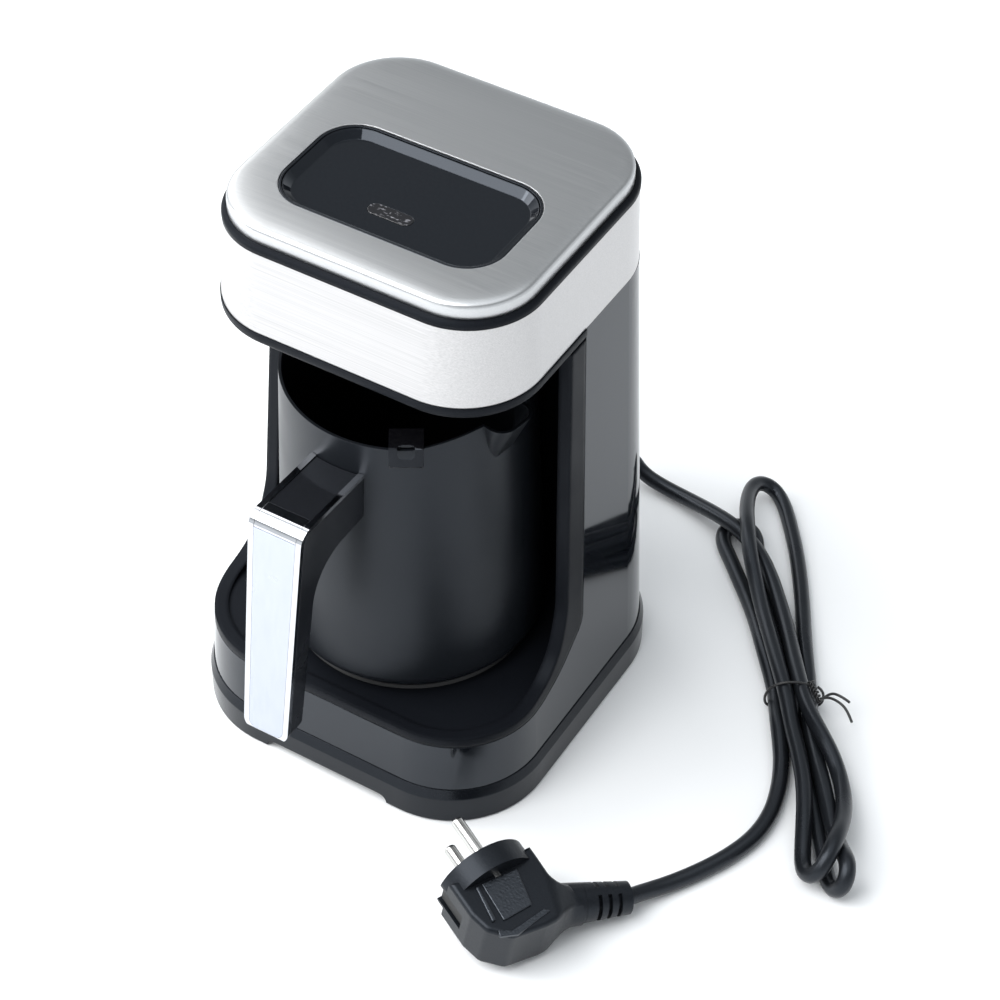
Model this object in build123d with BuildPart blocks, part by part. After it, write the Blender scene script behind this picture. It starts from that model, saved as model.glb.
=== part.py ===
"""Electric turkish coffee maker: housing, removable pot, push button and mains lead. Millimetres, +Z up."""
import os
from math import cos, pi, radians, sin, tan

from build123d import *

os.makedirs("parts", exist_ok=True)

# ---------------------------------------------------------------- driving dimensions
# Heights above the surface
foot_drop = 0.8           # the feet stand this far below the skirt
skirt_top = 13.0          # top of the skirt's upright face
wall_z = 17.1             # foot of the outer shell, top of the sloped ledge
seam_z = 39.8             # joint of shell and liner round the front of the base
platform_z = 43.0         # floor round the hot plate
lip_z = 43.8              # rounded lip round the platform
head_z = 194.7            # underside of the head
band_z = 200.0            # foot of the steel band
band_top = 232.4
lid_z = 235.4             # foot of the steel lid, top of the black frame
lid_top = 242.2

# Plan sizes; the body tapers evenly from wall_z to head_z
wall_w, wall_front, wall_back, wall_r = 143.8, -55.6, 91.6, 37.7
neck_w, neck_front, neck_back, neck_r = 127.6, -42.3, 85.6, 30.0
skirt_w, skirt_d, skirt_r, skirt_y = 147.4, 151.4, 40.0, 18.0
# The head tapers evenly too, from the foot of its steel band to the band's top
head_w, head_d, head_r, head_y = 127.4, 123.8, 31.5, 24.2
crown_w, crown_d, crown_r, crown_y = 124.4, 118.3, 28.8, 25.6
lid_w, lid_d, lid_r, lid_y = 121.2, 114.0, 26.9, 25.4
window_w, window_d, window_r, window_y = 90.0, 51.4, 15.6, 11.2

# Walls and gaps
shell_t = 2.4
wing_t = 5.5              # noses of the wings beside the pot bay
liner_t = 2.6
steel_t = 0.8
gap = 0.3                 # between parts that only lie beside each other
touch = 0.1               # between parts that are screwed or clipped together

# Pot and handle
pot_y = 7.2
pot_foot_z, pot_rim_z, spout_z = 46.5, 168.0, 172.0
pot_foot_r, pot_rim_r, pot_t, pot_edge_r = 52.1, 47.1, 1.2, 5.0
spout_turn, tab_turn = -11.0, -58.0
handle_top_w, handle_foot_w = 22.4, 19.2
handle_back, handle_top_z = -34.0, 154.4
handle_corner = (-78.6, 157.1)
handle_foot = (-93.7, 60.0)

# Button and lead
button_z, button_t, button_travel = 238.9, 1.6, 1.2
exit_z, exit_end = 28.5, 108.0
lead_r = 3.25
wire_r = 0.85


# ---------------------------------------------------------------- shared outlines
def plan(height, width, depth, radius, y=0.0):
    """Rounded rectangle at a height, centred on x = 0."""
    with BuildSketch(Plane.XY.offset(height)) as outline:
        with Locations((0, y)):
            RectangleRounded(width, depth, radius)
    return outline.sketch


def body_size(height):
    """Width, front, back and corner radius of the tapered body at a height."""
    share = (height - wall_z) / (head_z - wall_z)
    foot = (wall_w, wall_front, wall_back, wall_r)
    neck = (neck_w, neck_front, neck_back, neck_r)
    return [low + (high - low) * share for low, high in zip(foot, neck)]


def body_plan(height, inset=0.0):
    width, front, back, radius = body_size(height)
    return plan(height, width - 2 * inset, back - front - 2 * inset, radius - inset, (front + back) / 2)


def bay_plan(height, wall, back, radius):
    """Plan of the bay that the pot stands in, open far out to the front."""
    bay_front = -160.0
    width = body_size(height)[0] - 2 * wall
    return plan(height, width, back - bay_front, radius, (back + bay_front) / 2)


def head_plan(height, inset=0.0):
    share = (height - band_z) / (band_top - band_z)
    foot = (head_w, head_d, head_r, head_y)
    crown = (crown_w, crown_d, crown_r, crown_y)
    width, depth, radius, y = [low + (high - low) * share for low, high in zip(foot, crown)]
    return plan(height, width - 2 * inset, depth - 2 * inset, radius - inset, y)


def lid_plan(height, inset=0.0):
    return plan(height, lid_w - 2 * inset, lid_d - 2 * inset, lid_r - inset, lid_y)


def window_plan(height, inset=0.0):
    return plan(height, window_w - 2 * inset, window_d - 2 * inset, window_r - inset, window_y)


def both_sides(spots):
    """The same spots on the right and on the left."""
    return [(side * x, y) for x, y in spots for side in (1, -1)]


def arc_radii(points):
    """One radius for each corner of a lead: its arc takes 0.45 of the shorter run beside it."""
    radii = []
    for before, here, after in zip(points, points[1:], points[2:]):
        run_in = Vector(*here) - Vector(*before)
        run_out = Vector(*after) - Vector(*here)
        turn = radians(run_in.get_angle(run_out))
        radii.append(0.45 * min(run_in.length, run_out.length) / tan(turn / 2))
    return radii


def flat_cylinders(spots, bottom, top, radius):
    """Upright cylinders between two heights, for the builder that calls this to add or cut."""
    with BuildPart(mode=Mode.PRIVATE) as group:
        with BuildSketch(Plane.XY.offset(bottom)):
            with Locations(*spots):
                Circle(radius)
        extrude(amount=top - bottom)
    return group.part


# Seam of shell and liner, and nose line of the liner, seen from the side as (y, z)
seam_top = (25.2, band_z + 1)
seam_points = [seam_top, (19.2, 58.0), (2.0, 45.2), (-13.0, seam_z), (-90.0, seam_z)]
seam_radii = [10.0, 40.0, 30.0]
nose_points = [(15.4, head_z + 1), (8.0, 72.0), (0.0, 50.0), (-22.0, lip_z), (-90.0, lip_z)]
nose_radii = [40.0, 24.0, 60.0]

# Places of the screws
base_posts = both_sides([(50, -22)])
shell_posts = both_sides([(53, 73)])
bracket_posts = both_sides([(57, pot_y)])
clamp_posts = both_sides([(9, 83)])
head_posts_liner = both_sides([(20, 69.4)])
head_posts_shell = both_sides([(49, 71)])
screw_hole_r, screw_r, screw_head_r, screw_head_h = 1.6, 1.5, 3.4, 2.2


def screws(spots, seat, length, up=True, radius=screw_r, head_r=screw_head_r, head_h=screw_head_h):
    """Cross-head screws whose heads rest on seat and whose shanks run up, or down, from it."""
    way = 1 if up else -1
    with BuildPart() as group:
        with BuildSketch(Plane.XY.offset(seat)):
            with Locations(*spots):
                Circle(head_r)
        extrude(amount=-way * head_h)
        with BuildSketch(Plane.XY.offset(seat)):
            with Locations(*spots):
                Circle(radius)
        extrude(amount=way * length)
        with BuildSketch(Plane.XY.offset(seat - way * head_h)):
            with Locations(*spots):
                Rectangle(head_r * 1.1, head_r * 0.25)
                Rectangle(head_r * 0.25, head_r * 1.1)
        extrude(amount=way * head_h * 0.5, mode=Mode.SUBTRACT)
    return group.part


# ---------------------------------------------------------------- base
deck_z, deck_t = 5.2, 2.5
skirt_t, ledge_t = 2.4, 4.5
tongue_top = 19.6
notch_w, notch_h, notch_r = 56.0, 4.3, 3.6
foot_r = 8.0
foot_spots = both_sides([(50, -38), (34, 78)])

with BuildPart() as base_skirt:
    extrude(plan(foot_drop, skirt_w, skirt_d, skirt_r, skirt_y), amount=skirt_top - foot_drop)
    loft([plan(skirt_top, skirt_w, skirt_d, skirt_r, skirt_y), body_plan(wall_z - touch, -0.3)], ruled=True)
    fillet(base_skirt.edges().filter_by_position(Axis.Z, skirt_top, skirt_top), 1.0)
    # tongue inside the shell's foot
    extrude(body_plan(wall_z - 2, shell_t + 2 * gap), amount=tongue_top - wall_z + 2)
    # hollow below and above the deck
    extrude(plan(foot_drop, skirt_w - 2 * skirt_t, skirt_d - 2 * skirt_t, skirt_r - skirt_t, skirt_y),
            amount=deck_z - foot_drop, mode=Mode.SUBTRACT)
    extrude(body_plan(deck_z + deck_t, ledge_t), amount=tongue_top, mode=Mode.SUBTRACT)
    # notches under the front and back edges
    with BuildSketch(Plane.XZ.offset(-skirt_y)) as notch:
        with Locations((0, notch_h / 2)):
            Rectangle(notch_w, notch_h)
        fillet(notch.vertices().group_by(Axis.Y)[-1], notch_r)
    extrude(amount=skirt_d, both=True, mode=Mode.SUBTRACT)
    # posts for the cord clamp
    add(flat_cylinders(clamp_posts, deck_z + deck_t, 22.5, 3.4))
    add(flat_cylinders(clamp_posts, 12.0, 23.0, screw_hole_r), mode=Mode.SUBTRACT)
    # air slots and screw holes in the deck
    with BuildSketch(Plane.XY.offset(deck_z)) as deck_holes:
        with Locations((0, -28)):
            with GridLocations(9, 0, 7, 1):
                SlotOverall(22, 3, rotation=90)
        with Locations((0, 48)):
            with GridLocations(9, 0, 7, 1):
                SlotOverall(30, 3, rotation=90)
        with Locations(*base_posts, *shell_posts):
            Circle(screw_hole_r + 0.2)
    extrude(amount=deck_t, mode=Mode.SUBTRACT)
base_skirt.part.label = "base_skirt"
export_step(base_skirt.part, "parts/base_skirt.step")

with BuildPart() as rubber_feet:
    add(flat_cylinders(foot_spots, 0, deck_z, foot_r))
    chamfer(rubber_feet.edges().group_by(Axis.Z)[0], 0.5)
rubber_feet.part.label = "rubber_feet"
export_step(rubber_feet.part, "parts/rubber_feet.step")

with BuildPart() as base_screws:
    add(screws(base_posts + shell_posts, deck_z, 12))
base_screws.part.label = "base_screws"
export_step(base_screws.part, "parts/base_screws.step")

# ---------------------------------------------------------------- outer shell
bush_hole_r = 6.0
rim_t = 1.5               # rim of the shell that covers the side of the head's tray

with BuildPart() as outer_shell:
    loft([body_plan(wall_z), body_plan(band_z - touch)], ruled=True)
    loft([body_plan(wall_z, shell_t), body_plan(head_z - touch, shell_t)], ruled=True, mode=Mode.SUBTRACT)
    loft([body_plan(head_z - 1, rim_t), body_plan(band_z, rim_t)], ruled=True, mode=Mode.SUBTRACT)
    # what lies behind and below the seam
    with BuildSketch(Plane.YZ) as shell_side:
        with BuildLine():
            seam = FilletPolyline(*seam_points, radius=seam_radii)
            Polyline(seam @ 1, (-90, 0), (120, 0), (120, band_z + 1), seam @ 0)
        make_face()
    extrude(amount=wall_w, both=True, mode=Mode.INTERSECT)
    # posts on ribs in the back corners, for the base screws and the head screws
    for spots, low, high, rib_end in ((shell_posts, deck_z + deck_t + touch, 40.0, 59.8),
                                      (head_posts_shell, 172.0, head_z - touch, 54.0)):
        add(flat_cylinders(spots, low, high, 4.2))
        with BuildSketch(Plane.XY.offset(max(low, 23.0))) as ribs:
            for x, y in spots:
                side = 1 if x > 0 else -1
                with Locations(((x + side * rib_end) / 2, y + (rib_end - abs(x)) / 2)):
                    Rectangle((rib_end - abs(x)) * 1.42, 2, rotation=45 * side)
        extrude(amount=high - max(low, 23.0))
    add(flat_cylinders(shell_posts, 0, 20, screw_hole_r), mode=Mode.SUBTRACT)
    add(flat_cylinders(head_posts_shell, 178, head_z, screw_hole_r), mode=Mode.SUBTRACT)
    # hole for the cord bush
    with BuildSketch(Plane.XZ.offset(-wall_back - 5)) as bush_hole:
        with Locations((0, exit_z)):
            Circle(bush_hole_r)
    extrude(amount=20, mode=Mode.SUBTRACT)
outer_shell.part.label = "outer_shell"
export_step(outer_shell.part, "parts/outer_shell.step")

# ---------------------------------------------------------------- front liner
bay_back, bay_r = 62.8, 27.0
board_y = 70.0            # ends of the posts that carry the power board
board_posts = [(x, z) for x in (-28, 28) for z in (89, 149)]
platform_t = 2.4
plate_hole_r = 46.6
bracket_z = 31.6          # foot of the posts that carry the plate bracket
liner_top = head_z - touch

with BuildPart() as pot_bay:
    # tub: platform, side walls and back wall
    loft([bay_plan(platform_z - platform_t, wing_t - liner_t, bay_back + liner_t, bay_r + liner_t),
          bay_plan(liner_top, wing_t - liner_t, bay_back + liner_t, bay_r + liner_t)], ruled=True)
    loft([body_plan(platform_z - platform_t, wing_t - liner_t), body_plan(liner_top, wing_t - liner_t)],
         ruled=True, mode=Mode.INTERSECT)
    loft([bay_plan(platform_z, wing_t, bay_back, bay_r), bay_plan(liner_top + 1, wing_t, bay_back, bay_r)],
         ruled=True, mode=Mode.SUBTRACT)
    with BuildSketch(Plane.YZ) as bay_side:
        with BuildLine():
            bay_nose = FilletPolyline(*nose_points, radius=nose_radii)
            Polyline(bay_nose @ 1, (-90, 0), (100, 0), (100, head_z + 1), bay_nose @ 0)
        make_face()
    extrude(amount=wall_w, both=True, mode=Mode.INTERSECT)

with BuildPart() as front_liner:
    # noses of the wings and lip of the platform, one band in front of the seam
    loft([body_plan(wall_z), body_plan(liner_top)], ruled=True)
    loft([body_plan(wall_z, wing_t), body_plan(liner_top, wing_t)], ruled=True, mode=Mode.SUBTRACT)
    with BuildSketch(Plane.YZ) as band_side:
        with BuildLine():
            nose = FilletPolyline(*nose_points, radius=nose_radii)
            joint = FilletPolyline(*[(y - gap, z + gap) for y, z in seam_points], radius=seam_radii)
            Line(nose @ 0, joint @ 0)
            Line(nose @ 1, joint @ 1)
        make_face()
    extrude(amount=wall_w, both=True, mode=Mode.INTERSECT)
    add(pot_bay.part)
    # hole for the hot plate
    add(flat_cylinders([(0, pot_y)], 30, platform_z + 2, plate_hole_r), mode=Mode.SUBTRACT)
    # posts: base screws, plate bracket, head screws, power board
    add(flat_cylinders(base_posts, deck_z + deck_t + touch, platform_z - 1, 4.2))
    add(flat_cylinders(bracket_posts, bracket_z, platform_z - 1, 4.2))
    add(flat_cylinders(head_posts_liner, 172, liner_top, 4.2))
    add(flat_cylinders(base_posts, 0, 20, screw_hole_r), mode=Mode.SUBTRACT)
    add(flat_cylinders(bracket_posts, 30, 40, screw_hole_r), mode=Mode.SUBTRACT)
    add(flat_cylinders(head_posts_liner, 178, head_z, screw_hole_r), mode=Mode.SUBTRACT)
    with BuildSketch(Plane.XZ.offset(-board_y)) as standoff_plan:
        with Locations(*board_posts):
            Circle(3.2)
    extrude(amount=board_y - bay_back - 1)
    with BuildSketch(Plane.XZ.offset(-board_y)) as standoff_holes:
        with Locations(*board_posts):
            Circle(1.3)
    extrude(amount=5.5, mode=Mode.SUBTRACT)
front_liner.part.label = "front_liner"
export_step(front_liner.part, "parts/front_liner.step")

# ---------------------------------------------------------------- hot plate and heater
plate_r, plate_top, plate_t = 43.5, 46.3, 4.0
plate_foot = plate_top - plate_t
stud_spots = both_sides([(22, pot_y)])
stud_r, stud_foot = 2.0, 25.5
bar_t = 1.5
bar_z = bracket_z - touch - bar_t
coil_r, coil_tube_r, coil_gap = 31.0, 3.0, 30.0

with BuildPart() as hot_plate:
    add(flat_cylinders([(0, pot_y)], plate_foot, plate_top, plate_r))
    chamfer(hot_plate.edges().group_by(Axis.Z)[-1], 0.6)
    add(flat_cylinders(stud_spots, stud_foot, plate_foot, stud_r))
hot_plate.part.label = "hot_plate"
export_step(hot_plate.part, "parts/hot_plate.step")

with BuildPart() as plate_seal:
    with BuildSketch(Plane.XZ.offset(-pot_y)) as seal_section:
        with BuildLine():
            Polyline((plate_r + touch, platform_z - platform_t), (plate_hole_r - touch, platform_z - platform_t),
                     (plate_hole_r - touch, platform_z + touch), (plate_hole_r + 1.8, platform_z + touch),
                     (plate_hole_r + 1.0, platform_z + 1.3), (plate_r + touch, platform_z + 1.6), close=True)
        make_face()
    revolve(axis=Axis((0, pot_y, 0), (0, 0, 1)))
plate_seal.part.label = "plate_seal"
export_step(plate_seal.part, "parts/plate_seal.step")

with BuildPart() as heating_element:
    coil_z = plate_foot - touch - coil_tube_r
    coil_plane = Plane((0, pot_y, coil_z))
    with BuildLine(coil_plane) as coil_path:
        CenterArc((0, 0), coil_r, 90 + coil_gap, 360 - 2 * coil_gap)
    with BuildSketch(Plane(coil_path.line @ 0, z_dir=coil_path.line % 0)):
        Circle(coil_tube_r)
    sweep(path=coil_path.line)
    # terminals at the two ends
    coil_ends = both_sides([(coil_r * sin(radians(coil_gap)), pot_y + coil_r * cos(radians(coil_gap)))])
    add(flat_cylinders(coil_ends, coil_z - 6.0, coil_z, 1.4))
heating_element.part.label = "heating_element"
export_step(heating_element.part, "parts/heating_element.step")

with BuildPart() as thermostat:
    with Locations((0, pot_y + 12, plate_foot - touch)):
        Cylinder(8, 6, align=(Align.CENTER, Align.CENTER, Align.MAX))
    with Locations((5, pot_y + 12, plate_foot - 6), (-5, pot_y + 12, plate_foot - 6)):
        Box(0.8, 4, 5, align=(Align.CENTER, Align.CENTER, Align.MAX))
thermostat.part.label = "thermostat"
export_step(thermostat.part, "parts/thermostat.step")

with BuildPart() as thermal_fuse:
    with Locations((0, pot_y - 12, plate_foot - 2.2)):
        Cylinder(2, 13, rotation=(0, 90, 0))
        Cylinder(0.5, 26, rotation=(0, 90, 0))
thermal_fuse.part.label = "thermal_fuse"
export_step(thermal_fuse.part, "parts/thermal_fuse.step")

with BuildPart() as plate_bracket:
    with BuildSketch(Plane.XY.offset(bar_z)) as bar:
        with Locations((0, pot_y)):
            SlotOverall(124, 12)
        with Locations(*stud_spots):
            Circle(stud_r + gap, mode=Mode.SUBTRACT)
        with Locations(*bracket_posts):
            Circle(screw_r + gap, mode=Mode.SUBTRACT)
    extrude(amount=bar_t)
plate_bracket.part.label = "plate_bracket"
export_step(plate_bracket.part, "parts/plate_bracket.step")

with BuildPart() as bracket_screws:
    add(screws(bracket_posts, bar_z, 9))
bracket_screws.part.label = "bracket_screws"
export_step(bracket_screws.part, "parts/bracket_screws.step")

with BuildPart() as plate_nuts:
    with BuildSketch(Plane.XY.offset(bar_z - 3.2)) as nut_plan:
        with Locations(*stud_spots):
            RegularPolygon(4.0, 6)
            Circle(stud_r + 0.05, mode=Mode.SUBTRACT)
    extrude(amount=3.2)
plate_nuts.part.label = "plate_nuts"
export_step(plate_nuts.part, "parts/plate_nuts.step")

# ---------------------------------------------------------------- power board behind the bay
board_t, board_w, board_low, board_high = 1.6, 66.0, 84.0, 154.0

with BuildPart() as power_board:
    with BuildSketch(Plane.XZ.offset(-board_y - touch - board_t)) as power_board_plan:
        with Locations((0, (board_low + board_high) / 2)):
            RectangleRounded(board_w, board_high - board_low, 2)
        with Locations(*board_posts):
            Circle(1.6, mode=Mode.SUBTRACT)
    extrude(amount=board_t)
power_board.part.label = "power_board"
export_step(power_board.part, "parts/power_board.step")

board_face = board_y + touch + board_t
with BuildPart() as board_screws:
    with BuildSketch(Plane.XZ.offset(-board_face)) as board_screw_heads:
        with Locations(*board_posts):
            Circle(2.6)
    extrude(amount=-1.8)
    with BuildSketch(Plane.XZ.offset(-board_face)) as board_screw_shanks:
        with Locations(*board_posts):
            Circle(1.2)
    extrude(amount=5.4)
board_screws.part.label = "board_screws"
export_step(board_screws.part, "parts/board_screws.step")


def on_board(x, z, width, height, depth, edge=0.8):
    """Moulded block standing on the rear face of the power board."""
    with BuildPart() as block:
        with BuildSketch(Plane.XZ.offset(-board_face)):
            with Locations((x, z)):
                Rectangle(width, height)
        extrude(amount=-depth)
        fillet(block.faces().sort_by(Axis.Y)[-1].edges(), edge)
    return block.part


relay = on_board(-13, 128, 15, 19, 11)
relay.label = "relay"
export_step(relay, "parts/relay.step")

film_capacitor = on_board(12, 132, 18, 13, 8.5, 1.5)
film_capacitor.label = "film_capacitor"
export_step(film_capacitor, "parts/film_capacitor.step")

terminal_block = on_board(0, 97, 36, 11, 9.5)
terminal_block.label = "terminal_block"
export_step(terminal_block, "parts/terminal_block.step")
terminal_y, terminal_z = board_face + 4.8, 97 - 5.5

# ---------------------------------------------------------------- cord entry
bush_bore = lead_r + 0.1
stub_end = 79.0

with BuildPart() as cord_bush:
    with BuildSketch(Plane.YZ) as bush_section:
        with BuildLine():
            Polyline((86.8, exit_z + bush_bore), (86.8, exit_z + 8), (88.3, exit_z + 8),
                     (88.3, exit_z + bush_hole_r - touch), (91.7, exit_z + bush_hole_r - touch),
                     (91.7, exit_z + 8.6), (94.0, exit_z + 8.2), (94.6, exit_z + 6.4),
                     (exit_end, exit_z + 4.5), (exit_end, exit_z + bush_bore), close=True)
        make_face()
    revolve(axis=Axis((0, 0, exit_z), (0, 1, 0)))
    # flexing grooves in the tail
    for step in range(3):
        groove_y = 97.5 + 3.4 * step
        with BuildSketch(Plane.XZ.offset(-groove_y)) as groove:
            with Locations((0, exit_z)):
                Circle(9)
                Circle(4.6, mode=Mode.SUBTRACT)
        extrude(amount=-1.4, mode=Mode.SUBTRACT)
cord_bush.part.label = "cord_bush"
export_step(cord_bush.part, "parts/cord_bush.step")

with BuildPart() as cord_end:
    with BuildSketch(Plane.XZ.offset(-exit_end)) as stub:
        with Locations((0, exit_z)):
            Circle(lead_r)
    extrude(amount=exit_end - stub_end)
cord_end.part.label = "cord_end"
export_step(cord_end.part, "parts/cord_end.step")

clamp_foot, clamp_top = 22.6, 34.6
with BuildPart() as cord_clamp:
    with BuildSketch(Plane.XY.offset(clamp_foot)) as clamp_plan:
        with Locations((0, clamp_posts[0][1])):
            RectangleRounded(26, 6.6, 2)
        with Locations(*clamp_posts):
            Circle(screw_hole_r, mode=Mode.SUBTRACT)
    extrude(amount=clamp_top - clamp_foot)
    with BuildSketch(Plane.XZ.offset(-70)) as clamp_bore:
        with Locations((0, exit_z)):
            Circle(lead_r + 0.05)
    extrude(amount=-30, mode=Mode.SUBTRACT)
cord_clamp.part.label = "cord_clamp"
export_step(cord_clamp.part, "parts/cord_clamp.step")

with BuildPart() as clamp_screws:
    add(screws(clamp_posts, clamp_top, 21, up=False, head_r=2.8))
clamp_screws.part.label = "clamp_screws"
export_step(clamp_screws.part, "parts/clamp_screws.step")


def wire(points, radius):
    """Insulated wire along straight runs with rounded corners."""
    with BuildPart() as strand:
        with BuildLine() as route:
            FilletPolyline(*points, radius=radius)
        with BuildSketch(Plane(route.line @ 0, z_dir=route.line % 0)):
            Circle(wire_r)
        sweep(path=route.line)
    return strand.part


with BuildPart() as mains_wires:
    for core_x, clip_x in ((-1.8, -9), (0, 0.5), (1.8, 9)):
        add(wire([(core_x, stub_end, exit_z), (core_x, 74, exit_z), (clip_x, 74, 60),
                  (clip_x, terminal_y, 78), (clip_x, terminal_y, terminal_z)], 3.0))
mains_wires.part.label = "mains_wires"
export_step(mains_wires.part, "parts/mains_wires.step")

with BuildPart() as heater_wires:
    for side in (1, -1):
        add(wire([(side * coil_ends[0][0], coil_ends[0][1], coil_z - 6), (side * coil_ends[0][0], coil_ends[0][1], 22),
                  (side * 19, 70, 22), (side * 19, 70, 68), (side * 14, terminal_y, 80),
                  (side * 14, terminal_y, terminal_z)], 3.0))
heater_wires.part.label = "heater_wires"
export_step(heater_wires.part, "parts/heater_wires.step")

# ---------------------------------------------------------------- head
band_wall = steel_t + touch
tray_t = 2.2
tray_top = band_top - touch
floor_top = head_z + 2.5
sensor_r = 7.5
well_floor, well_floor_t = 226.0, 2.0
well_wall = 1.05
shaft_w, shaft_d, shaft_y = 34.0, 12.0, 75.0

with BuildPart() as rim_room:
    extrude(plan(head_z - 1, head_w + 10, head_d + 10, head_r + 5, head_y), amount=band_z - touch - head_z + 1)
    loft([body_plan(head_z - 2, rim_t + gap), body_plan(band_z, rim_t + gap)], ruled=True, mode=Mode.SUBTRACT)
    with Locations((0, seam_top[0] - gap, head_z)):
        Box(head_w + 20, 100, 20, align=(Align.CENTER, Align.MIN, Align.CENTER), mode=Mode.INTERSECT)

with BuildPart() as head_tray:
    extrude(plan(head_z, head_w + 0.8, head_d + 0.8, head_r + 0.4, head_y), amount=band_z - touch - head_z)
    fillet(head_tray.edges().group_by(Axis.Z)[0], 2.6)
    add(rim_room.part, mode=Mode.SUBTRACT)
    loft([head_plan(band_z - touch, band_wall), head_plan(tray_top, band_wall)], ruled=True)
    loft([head_plan(floor_top, band_wall + tray_t), head_plan(tray_top + 1, band_wall + tray_t)], ruled=True,
         mode=Mode.SUBTRACT)
    # openings in the floor: sensor, wiring shaft, screws
    with BuildSketch(Plane.XY.offset(head_z)) as tray_holes:
        with Locations((0, pot_y)):
            Circle(sensor_r)
        with Locations((0, shaft_y)):
            RectangleRounded(shaft_w, shaft_d, 2)
        with Locations(*head_posts_shell):
            Circle(screw_hole_r + 0.2)
        with Locations(*head_posts_liner):
            Circle(screw_hole_r + 0.2)
    extrude(amount=6, mode=Mode.SUBTRACT)
head_tray.part.label = "head_tray"
export_step(head_tray.part, "parts/head_tray.step")

with BuildPart() as steel_band:
    loft([head_plan(band_z), head_plan(band_top)], ruled=True)
    loft([head_plan(band_z, steel_t), head_plan(band_top, steel_t)], ruled=True, mode=Mode.SUBTRACT)
steel_band.part.label = "steel_band"
export_step(steel_band.part, "parts/steel_band.step")

with BuildPart() as head_screws:
    add(screws(head_posts_liner + head_posts_shell, floor_top, 14, up=False))
head_screws.part.label = "head_screws"
export_step(head_screws.part, "parts/head_screws.step")

frame_top = lid_z - touch
frame_lip = band_wall + tray_t + gap
with BuildPart() as head_frame:
    extrude(head_plan(band_top + touch, -0.4), amount=frame_top - band_top - touch)
    fillet(head_frame.edges().group_by(Axis.Z)[-1], 1.2)
    extrude(head_plan(band_top + 1, frame_lip), amount=-6)
    extrude(head_plan(band_top + touch, frame_lip + 1.8), amount=-6, mode=Mode.SUBTRACT)
    extrude(window_plan(band_top - 1, -gap), amount=6, mode=Mode.SUBTRACT)
    bezel_screw_spots = [(x, y) for x in (-36, 36) for y in (window_y - 29, window_y + 29)]
    add(flat_cylinders(bezel_screw_spots, band_top - 5, band_top + 1, 3.0))
    add(flat_cylinders(bezel_screw_spots, band_top - 4, frame_top, 1.2), mode=Mode.SUBTRACT)
head_frame.part.label = "head_frame"
export_step(head_frame.part, "parts/head_frame.step")

lid_edge_r = 1.6
with BuildPart() as lid_plate:
    extrude(lid_plan(lid_z), amount=lid_top - lid_z)
    fillet(lid_plate.edges().group_by(Axis.Z)[-1], lid_edge_r)
    extrude(lid_plan(lid_z, steel_t), amount=lid_top - lid_z - lid_edge_r + 0.2, mode=Mode.SUBTRACT)
    extrude(lid_plan(lid_z, lid_edge_r), amount=lid_top - lid_z - steel_t, mode=Mode.SUBTRACT)
    extrude(window_plan(lid_z, -0.15), amount=lid_top - lid_z, mode=Mode.SUBTRACT)
    fillet(lid_plate.faces().sort_by(Axis.Z)[-1].inner_wires()[0].edges(), 0.3)
lid_plate.part.label = "lid_plate"
export_step(lid_plate.part, "parts/lid_plate.step")

flange_t = 1.4
hook_y = window_d / 2 - well_wall - 1.5
slot_w = 9.0
with BuildPart() as window_bezel:
    extrude(window_plan(well_floor), amount=lid_top - 0.2 - well_floor)
    fillet(window_bezel.edges().group_by(Axis.Z)[-1], 0.4)
    # flange that rests on the frame, under the lid
    extrude(plan(lid_z, 98, 66, 20, window_y), amount=flange_t)
    extrude(window_plan(well_floor + well_floor_t, well_wall), amount=20, mode=Mode.SUBTRACT)
    # board standoffs, wire opening, hook slots, screw holes
    with BuildSketch(Plane.XY.offset(well_floor + well_floor_t)) as well_standoffs:
        with Locations((0, window_y)):
            with GridLocations(60, 26, 2, 2):
                Circle(2.2)
                Circle(0.9, mode=Mode.SUBTRACT)
    extrude(amount=1.5)
    with BuildSketch(Plane.XY.offset(well_floor - 1)) as well_holes:
        with Locations((0, window_y)):
            Rectangle(20, 8)
        with Locations((0, window_y + hook_y), (0, window_y - hook_y)):
            Rectangle(slot_w, 3.0)
    extrude(amount=4, mode=Mode.SUBTRACT)
    add(flat_cylinders(bezel_screw_spots, lid_z - 1, lid_z + 3, 1.4), mode=Mode.SUBTRACT)
window_bezel.part.label = "window_bezel"
export_step(window_bezel.part, "parts/window_bezel.step")

with BuildPart() as bezel_screws:
    add(screws(bezel_screw_spots, lid_z + flange_t, 6.0, up=False, radius=1.1, head_r=2.2, head_h=1.0))
bezel_screws.part.label = "bezel_screws"
export_step(bezel_screws.part, "parts/bezel_screws.step")

# ---------------------------------------------------------------- control board in the well
board_foot = well_floor + well_floor_t + 1.5 + touch
board_top = board_foot + board_t
switch_spot = (20.0, window_y)
lens_x, lens_y = -2.0, 1.7
lens_w, lens_d = 18.0, 6.0

with BuildPart() as control_board:
    extrude(plan(board_foot, 72, 40, 3, window_y), amount=board_t)
control_board.part.label = "control_board"
export_step(control_board.part, "parts/control_board.step")

with BuildPart() as micro_switch:
    with Locations((*switch_spot, board_top)):
        Box(9, 9, 3.4, align=(Align.CENTER, Align.CENTER, Align.MIN))
    fillet(micro_switch.edges().filter_by(Axis.Z), 0.6)
    with Locations((*switch_spot, board_top + 0.7)):
        Cylinder(1.9, 5, align=(Align.CENTER, Align.CENTER, Align.MIN), mode=Mode.SUBTRACT)
micro_switch.part.label = "micro_switch"
export_step(micro_switch.part, "parts/micro_switch.step")

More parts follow.
